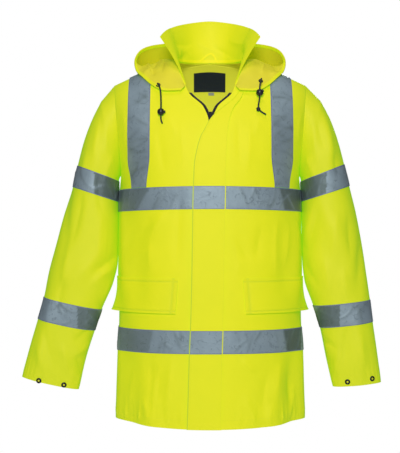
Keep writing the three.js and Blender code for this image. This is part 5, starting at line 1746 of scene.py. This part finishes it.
def lathe(name, profile, sides, centre, axis, material, body="jacket", bumps=None, ring=False):
    """A closed turned piece: profile is radius and height along the axis, from end to end, or right
    round the section of a ring."""
    axis = unit(np.array(axis, float))
    helper = np.array([0.0, 1.0, 0.0]) if abs(axis[1]) < 0.9 else np.array([1.0, 0.0, 0.0])
    first = unit(np.cross(helper, axis))
    second = np.cross(axis, first)
    angles = np.linspace(0, 2 * np.pi, sides, endpoint=False)
    verts = []
    for radius, height in profile:
        for angle in angles:
            r = radius * (1 + (bumps(angle, height) if bumps else 0))
            outward = first * math.cos(angle) + second * math.sin(angle)
            verts.append(tuple((np.array(centre) + axis * height + r * outward) * MM))
    faces = []
    for row in range(len(profile) if ring else len(profile) - 1):
        low, high = row * sides, (row + 1) % len(profile) * sides
        for i in range(sides):
            j = (i + 1) % sides
            faces.append((low + i, low + j, high + j, high + i))
    if not ring:
        last = (len(profile) - 1) * sides
        faces.append(tuple(range(sides))[::-1])
        faces.append(tuple(last + i for i in range(sides)))
    mesh = bpy.data.meshes.new(name)
    mesh.from_pydata(verts, [], faces)
    shade(mesh, 40)
    return new_object(name, mesh, material, body)


LOCK_RADIUS = 8.2
LOCK_BORE = 3.6
LOCK_LIP = 1.3
LOCK_MOUTH = math.sqrt(LOCK_RADIUS ** 2 - (LOCK_BORE + LOCK_LIP) ** 2)
LOCK_DEPTH = 9.4
BUTTON_RADIUS = 3.2
BUTTON_DEPTH = 6.0
BUTTON_STANDS = 3.4


def lock_profile():
    mouth = math.asin(LOCK_MOUTH / LOCK_RADIUS)
    angles = np.linspace(-math.pi / 2 + 0.05, mouth, 22)
    profile = []
    for angle in angles:
        groove = 0.35 * bell((angle + 0.5) / 0.09) + 0.35 * bell((angle - 0.45) / 0.09)
        radius = LOCK_RADIUS - groove
        profile.append((radius * math.cos(angle), LOCK_RADIUS * math.sin(angle)))
    lip = profile[-1][0]
    profile += [(lip - 0.25, LOCK_MOUTH + 0.05), (LOCK_BORE + 0.3, LOCK_MOUTH + 0.05)]
    profile += [(LOCK_BORE, LOCK_MOUTH - 0.3)]
    profile += [(LOCK_BORE, LOCK_MOUTH - LOCK_DEPTH), (0.05, LOCK_MOUTH - LOCK_DEPTH)]
    return profile


def plunger_profile():
    inner = LOCK_MOUTH - BUTTON_DEPTH
    outer = LOCK_MOUTH + BUTTON_STANDS
    radius = BUTTON_RADIUS
    return [(0.05, inner), (radius, inner), (radius, outer - 0.9), (2.95, outer - 0.3), (2.4, outer),
            (1.6, outer), (1.3, outer - 0.35), (0.05, outer - 0.35)]


cords = {}
for side in SIGNS:
    centre, axis = LOCK_PLACE[side]
    lock = lathe(f"lock_ball_{side}", lock_profile(), 36, centre, axis, BLACK_PLASTIC)
    keep(lock, "fittings", f"cord_lock_{side}")
    button_body = f"plunger_{side}"
    plunger = lathe(f"lock_button_{side}", plunger_profile(), 28, centre, axis, BLACK_PLASTIC, button_body)
    keep(plunger, "fittings", f"cord_lock_plunger_{side}")
    cord, length = cord_piece(side)
    cords[side] = (cord, length, [lock, plunger])


def knot_bumps(angle, height):
    return 0.13 * math.sin(2 * angle + 1.1 * height) + 0.05 * math.sin(3 * angle - 0.9 * height)


knot_profile = [(4.4 * math.cos(a) + 0.02, 5.2 * math.sin(a)) for a in np.linspace(-1.5, 1.5, 18)]
knot = lathe("cord_knot_braid", knot_profile, 32, KNOT_PLACE, (0.15, 0, 1), BRAID, bumps=knot_bumps)
keep(knot, "cord", "cord_knot")
cords["left"][2].append(knot)

keep(cords["right"][0], "cord", "cord_right_upper", "cord_right_tail")
keep(cords["left"][0], "cord", "cord_left_upper", "cord_left_middle", "cord_left_tail")
for side, (cord, length, pieces) in cords.items():
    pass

# Small fittings on a spot that the front view shows

SEARCH = 9
SEARCH_ROUNDS = 7
SEARCH_NARROWS = 5


def spot_seen_at(surface, first, second, x, z):
    """The point and normal of a surface nearest to x, z in the front view."""
    limits = np.array([first, second], float)
    span = limits.copy()
    for _ in range(SEARCH_ROUNDS):
        a, b = np.meshgrid(np.linspace(*span[0], SEARCH), np.linspace(*span[1], SEARCH))
        points, normals = surface(a, b)
        miss = (points[..., 0] - x) ** 2 + (points[..., 2] - z) ** 2
        best = np.unravel_index(np.argmin(miss), miss.shape)
        reach = (span[:, 1] - span[:, 0]) / SEARCH_NARROWS
        middle = np.array([a[best], b[best]])
        span = np.clip(np.stack([middle - reach, middle + reach], -1), limits[:, :1], limits[:, 1:])
    return points[best], normals[best]


# Press studs of the cuffs: a dished black cap with a coloured centre
CUFF_STUDS = [("right", "outer", -387, -731), ("right", "inner", -331, -741),
              ("left", "outer", 310, -734), ("left", "inner", 366, -727)]
STUD_RADIUS = 6.2
STUD_WALL = 2.0
STUD_CENTRE_RADIUS = 2.3
cap_profile = [(0.05, 0), (STUD_RADIUS - 0.2, 0), (STUD_RADIUS, 0.3), (STUD_RADIUS - 0.15, 1.0),
               (STUD_RADIUS - 0.8, 1.7), (STUD_RADIUS - 1.6, STUD_WALL),
               (STUD_CENTRE_RADIUS + 0.5, STUD_WALL),
               (STUD_CENTRE_RADIUS + 0.2, STUD_WALL - 0.5), (STUD_CENTRE_RADIUS, STUD_WALL - 1.1),
               (0.05, STUD_WALL - 1.1)]
centre_profile = [(0.05, STUD_WALL - 1.0), (STUD_CENTRE_RADIUS - 0.1, STUD_WALL - 1.0),
                  (STUD_CENTRE_RADIUS - 0.15, STUD_WALL - 0.7),
                  (STUD_CENTRE_RADIUS - 0.9, STUD_WALL - 0.35),
                  (0.05, STUD_WALL - 0.25)]
for side, place, x, z in CUFF_STUDS:
    spot, normal = spot_seen_at(lambda a, b, side=side: sleeve_at(side, a, b), (0.05, 0.45),
                                (10.5, CUFF), x, z)
    foot = spot + normal * SEAM_GAP
    cap = lathe(f"stud_cap_{side}_{place}", cap_profile, 32, foot, normal, BLACK_METAL)
    keep(cap, "fittings", f"cuff_stud_{side}_{place}")
    keep(lathe(f"stud_centre_{side}_{place}", centre_profile, 24, foot, normal, STUD_CENTRE), "fittings")

# Eyelets of the hood's drawcord
EYELET_PLACE = {"right": (-117, -66), "left": (113.4, -56)}
EYELET_SECTION = [(2.4, 0.5), (2.7, 0.05), (3.2, 0), (5.1, 0), (5.4, 0.25), (5.3, 0.65), (4.8, 1.05),
                  (4.1, 1.2), (3.3, 1.15), (2.7, 0.95)]
for side, (x, z) in EYELET_PLACE.items():
    sign = SIGNS[side]
    spot, normal = spot_seen_at(lambda a, b, sign=sign: hood_at(sign, a, b), (0, 0.5), (0.6, 0.94), x, z)
    foot = spot + normal * (HOOD_WALL + SEAM_GAP)
    eyelet = lathe(f"eyelet_ring_{side}", EYELET_SECTION, 32, foot, normal, BLACK_METAL, ring=True)
    keep(eyelet, "fittings", f"eyelet_{side}")

# Many small copies of one shape in one mesh


def scatter(name, shape, places, along, normals, material):
    verts, faces = shape
    along = unit(along)
    side = unit(np.cross(normals, along))
    basis = np.stack([along, side, np.cross(along, side)], axis=1)
    spots = places[:, None, :] + np.einsum("vk,nkc->nvc", np.array(verts, float), basis)
    start = np.arange(len(places))[:, None, None] * len(verts)
    quads = (np.array(faces)[None] + start).reshape(-1, len(faces[0]))
    mesh = bpy.data.meshes.new(name)
    mesh.from_pydata((spots.reshape(-1, 3) * MM).tolist(), [], quads.tolist())
    shade(mesh, 40)
    return new_object(name, mesh, material)


def spaced(points, normals, pitch):
    """Places, directions and normals at an even pitch along a line."""
    run = run_along(points)
    at = np.arange(pitch / 2, run[-1], pitch)
    heading = np.gradient(points, axis=0)
    lines = [read_line(run, at, values) for values in (points, heading, normals)]
    return lines[0], lines[1], unit(lines[2])


# Zip: a tape beside each front's free edge, with its teeth apart above the slider
TEETH_FROM = 11.55
TOOTH_PITCH = 2.6
TOOTH_WIDE = 2.6
V_STRIP = 6.0
half_long, half_wide, half_high = 0.75, TOOTH_WIDE / 2, 0.95
TOOTH = ([(x, y, z) for x in (-half_long, half_long) for y in (-half_wide, half_wide)
          for z in (-half_high, half_high)],
         [(0, 1, 3, 2), (4, 6, 7, 5), (0, 4, 5, 1), (2, 3, 7, 6), (0, 2, 6, 4), (1, 5, 7, 3)])


def zip_at(sign, rows, inward):
    """Places inward, in millimetres, from the free edge of a front."""
    edge = read_table(FRONT_RINGS, rows)["open"] - SEAM_GAP
    return body_at_x(FRONT, sign * (edge - inward), rows)


for side, sign in SIGNS.items():
    rows = even_rows(FRONT, sign, 0, V_TOP, GRID, u=0.1)
    strip = ZIP_STRIP + (V_STRIP - ZIP_STRIP) * smooth_step(11.45, 11.9, rows)
    inward = strip[:, None] * np.array([1, 0.5, 0])[None, :]
    points, normals = zip_at(sign, np.repeat(rows[:, None], 3, axis=1), inward)
    strip_piece = shell(f"zip_strip_{side}", points, normals, -ZIP_WALL - SEAM_GAP, -SEAM_GAP, ZIP_CLOTH)
    keep(trim(strip_piece, f"front_panel_{side}"), "zip_tape", f"zip_tape_{side}")
    fine = np.linspace(TEETH_FROM, V_TOP - 0.02, 300)
    points, normals = zip_at(sign, fine, np.full_like(fine, V_STRIP - 0.9))
    places, headings, up = spaced(points, normals, TOOTH_PITCH)
    middles = places - up * (ZIP_WALL / 2 + SEAM_GAP)
    teeth = scatter(f"zip_teeth_{side}", TOOTH, middles, headings, up, BLACK_PLASTIC)
    keep(teeth, "zip_metal")

# The slider: two plates joined by a post at the top, with a lug for the pull on the front one
SLIDER = {"ring": 11.42, "x": 0.01, "length": 16, "gap": 2.1, "plate": 1.0, "post": 3, "shoulder": 3.7,
          "foot": 2.5, "lug": 2.2, "round": 0.28}


def slider_block(mesh, basis, centre, outline, low, high):
    """A bevelled prism: outline is aside and up, from low to high along the normal."""
    out, up, aside = basis
    rings = []
    for depth in (low, high):
        spots = [centre + out * depth + aside * a + up * b for a, b in outline]
        rings.append([mesh.verts.new(tuple(spot * MM)) for spot in spots])
    count = len(outline)
    sides = [(rings[0][i], rings[0][(i + 1) % count], rings[1][(i + 1) % count], rings[1][i])
             for i in range(count)]
    faces = [mesh.faces.new(side) for side in sides + [rings[0][::-1], rings[1]]]
    edges = list(dict.fromkeys(edge for face in faces for edge in face.edges))
    bmesh.ops.bevel(mesh, geom=edges, offset=SLIDER["round"] * MM, segments=2, affect="EDGES")


def in_fixed_order(body):
    """A body's corners and faces in an order that doesn't depend on how the bevel left them."""
    corners = sorted(body.verts, key=lambda corner: tuple(corner.co))
    number = {corner: i for i, corner in enumerate(corners)}
    faces = []
    for face in body.faces:
        ring = [number[corner] for corner in face.verts]
        first = ring.index(min(ring))
        faces.append(ring[first:] + ring[:first])
    return [tuple(corner.co) for corner in corners], sorted(faces)


def slider_piece():
    spot, out = body_at_x(FRONT, SLIDER["x"], SLIDER["ring"])
    aside = unit(np.cross(out, [0, 0, 1]))
    basis = (out, np.cross(aside, out), aside)
    centre = spot - out * (SEAM_GAP + ZIP_WALL / 2)
    top, half = SLIDER["length"] / 2, SLIDER["gap"] / 2
    wide, narrow = SLIDER["shoulder"], SLIDER["foot"]
    plate = [(-narrow, -top), (narrow, -top), (wide, 1), (wide, top - 1.5), (wide - 1.4, top),
             (1.4 - wide, top), (-wide, top - 1.5), (-wide, 1)]
    post = [(-1.6, top - SLIDER["post"]), (1.6, top - SLIDER["post"]), (2, top - 0.4), (-2, top - 0.4)]
    lug = [(-0.9, -3), (0.9, -3), (0.9, 4), (-0.9, 4)]
    body = bmesh.new()
    face = half + SLIDER["plate"]
    blocks = [(plate, half, face), (plate, -face, -half), (post, -half, half),
              (lug, face, half + SLIDER["lug"])]
    for outline, low, high in blocks:
        slider_block(body, basis, centre, outline, low, high)
    bmesh.ops.recalc_face_normals(body, faces=body.faces)
    corners, faces = in_fixed_order(body)
    body.free()
    mesh = bpy.data.meshes.new("zip_slider_body")
    mesh.from_pydata(corners, [], faces)
    shade(mesh, 40)
    return new_object("zip_slider_body", mesh, BLACK_METAL)


keep(slider_piece(), "zip_metal", "zip_slider")

# Sewing: lines of small stitches, gathered by the piece that they are on
STITCH_PITCH = 3.4
STITCH = ([(-1.25, 0, -0.2), (0, -0.42, 0), (0, 0, 0.34), (0, 0.42, 0), (0, 0, -0.34), (1.25, 0, -0.2)],
          [(0, 1, 2), (0, 2, 3), (0, 3, 4), (0, 4, 1), (5, 2, 1), (5, 3, 2), (5, 4, 3), (5, 1, 4)])
SEWING = {}
LINE_STEPS = 220
STITCH_LIFT = 0.12
TAPE_SEAMS = (0.045, 0.955)
SIDE_SEAM_STITCH = 0.968
SEAM_FROM = 8.2


def sew(piece, thread, grid, lift):
    """Adds a line of stitches over points and normals, lift above them."""
    points, normals = grid
    facing = normals * math.copysign(1, lift)
    line = spaced(points + normals * lift, facing, STITCH_PITCH)
    SEWING.setdefault((piece, thread.name), []).append(line)


steps = np.linspace(0.004, 0.996, LINE_STEPS)
HEM_STITCH = 0.24
over_tape = TAPE_LIFT + TAPE + STITCH_LIFT
for side, sign in SIGNS.items():
    for face, panel in ((FRONT, f"front_panel_{side}"), (BACK, "back_panel")):
        sew(panel, THREAD, body_at(face, sign, steps, HEM_STITCH), STITCH_LIFT)
        last = 16.6 if face is FRONT else 18.6
        armhole_seam = SEAM_FROM + (last - SEAM_FROM) * steps
        sew(panel, THREAD, body_at(face, sign, SIDE_SEAM_STITCH, armhole_seam), STITCH_LIFT)
        for band, (low, high) in BODY_TAPES.items():
            name = f"{band}_front_{side}_band" if face is FRONT else f"{band}_back_band"
            for share in TAPE_SEAMS:
                sew(name, TAPE_THREAD, body_at(face, sign, steps, low + (high - low) * share), over_tape)
    for band, (low, high) in SLEEVE_TAPES.items():
        for share in TAPE_SEAMS:
            line = sleeve_at(side, steps, np.full_like(steps, low + (high - low) * share))
            sew(f"{band}_{side}_band", TAPE_THREAD, line, over_tape)
    for place in (0.16, 11.62):
        sew(f"sleeve_cloth_{side}", THREAD, sleeve_at(side, steps, np.full_like(steps, place)), STITCH_LIFT)
    for share in TAPE_SEAMS:
        points, normals = brace_grid(sign, np.array([share, 1]))
        lift = BRACE_LIFT + TAPE + STITCH_LIFT
        sew(f"brace_{side}_band", TAPE_THREAD, (points[:, 0], normals[:, 0]), lift)
    top, foot = POCKET_SEAMS["rows"]
    near, far = POCKET_SEAMS["share"]
    for rows, share in ((top, steps), (foot, steps), (steps, near), (steps, far)):
        rows, share = np.atleast_1d(rows), np.atleast_1d(share)
        points, normals, lift = pocket_grid(sign, rows, share)
        points = (points + normals * lift[..., None]).reshape(-1, 3)
        line = (points, normals.reshape(-1, 3))
        sew(f"pocket_flap_cloth_{side}", THREAD, line, CLOTH + STITCH_LIFT)
    line = hood_at(sign, steps, rim_place(steps, np.full_like(steps, HEM_WIDE - 1.5)))
    sew(f"hood_cloth_{side}", THREAD, line, HOOD_WALL + HEM_WALL + 0.2)
for share in (0.07, 0.97):
    points, normals = flap_grid(V_TOP * steps, np.array([share, 1]))
    curl = flap_curl(np.array([share]))
    lift = FLAP_LIFT + CLOTH + curl[0] + STITCH_LIFT
    sew("storm_flap_cloth", THREAD, (points[:, 0], normals[:, 0]), lift)
round_neck = (len(COLLAR_SECTIONS) - 1) * steps
for height in (0.04, 0.955):
    line = collar_at(round_neck, np.full_like(steps, height))
    sew("collar_cloth", THREAD, line, STITCH_LIFT)
    if height > 0.5:
        sew("collar_cloth", THREAD, line, -CLOTH - STITCH_LIFT)
LABEL_INSET = 1.6
label_reach = LABEL["half"] - LABEL_INSET
label_tall = LABEL["high"] - LABEL["low"]
label_lift = -LABEL["lift"] - LABEL["wall"] - 0.1
for x in (-label_reach, label_reach):
    line = body_at_x(BACK, x, LABEL["low"] + label_tall * (0.02 + 0.96 * steps[::4]))
    sew("neck_lining_mesh", BLACK_THREAD, line, label_lift)
for share in (0.03, 0.97):
    across = label_reach * (2 * steps[::3] - 1)
    line = body_at_x(BACK, across, np.full_like(across, LABEL["low"] + label_tall * share))
    sew("neck_lining_mesh", BLACK_THREAD, line, label_lift)

THREADS = {"yellow_thread": THREAD, "tape_thread": TAPE_THREAD, "black_thread": BLACK_THREAD}
SLOT_OF_THREAD = {"yellow_thread": "cloth", "tape_thread": "reflective_tape", "black_thread": "label"}
for (piece, thread), lines in SEWING.items():
    places, headings, up = (np.concatenate([line[part] for line in lines]) for part in range(3))
    stitches = scatter(f"stitches_{piece}", STITCH, places, headings, up, THREADS[thread])
    trim(keep(stitches, SLOT_OF_THREAD[thread]), piece)
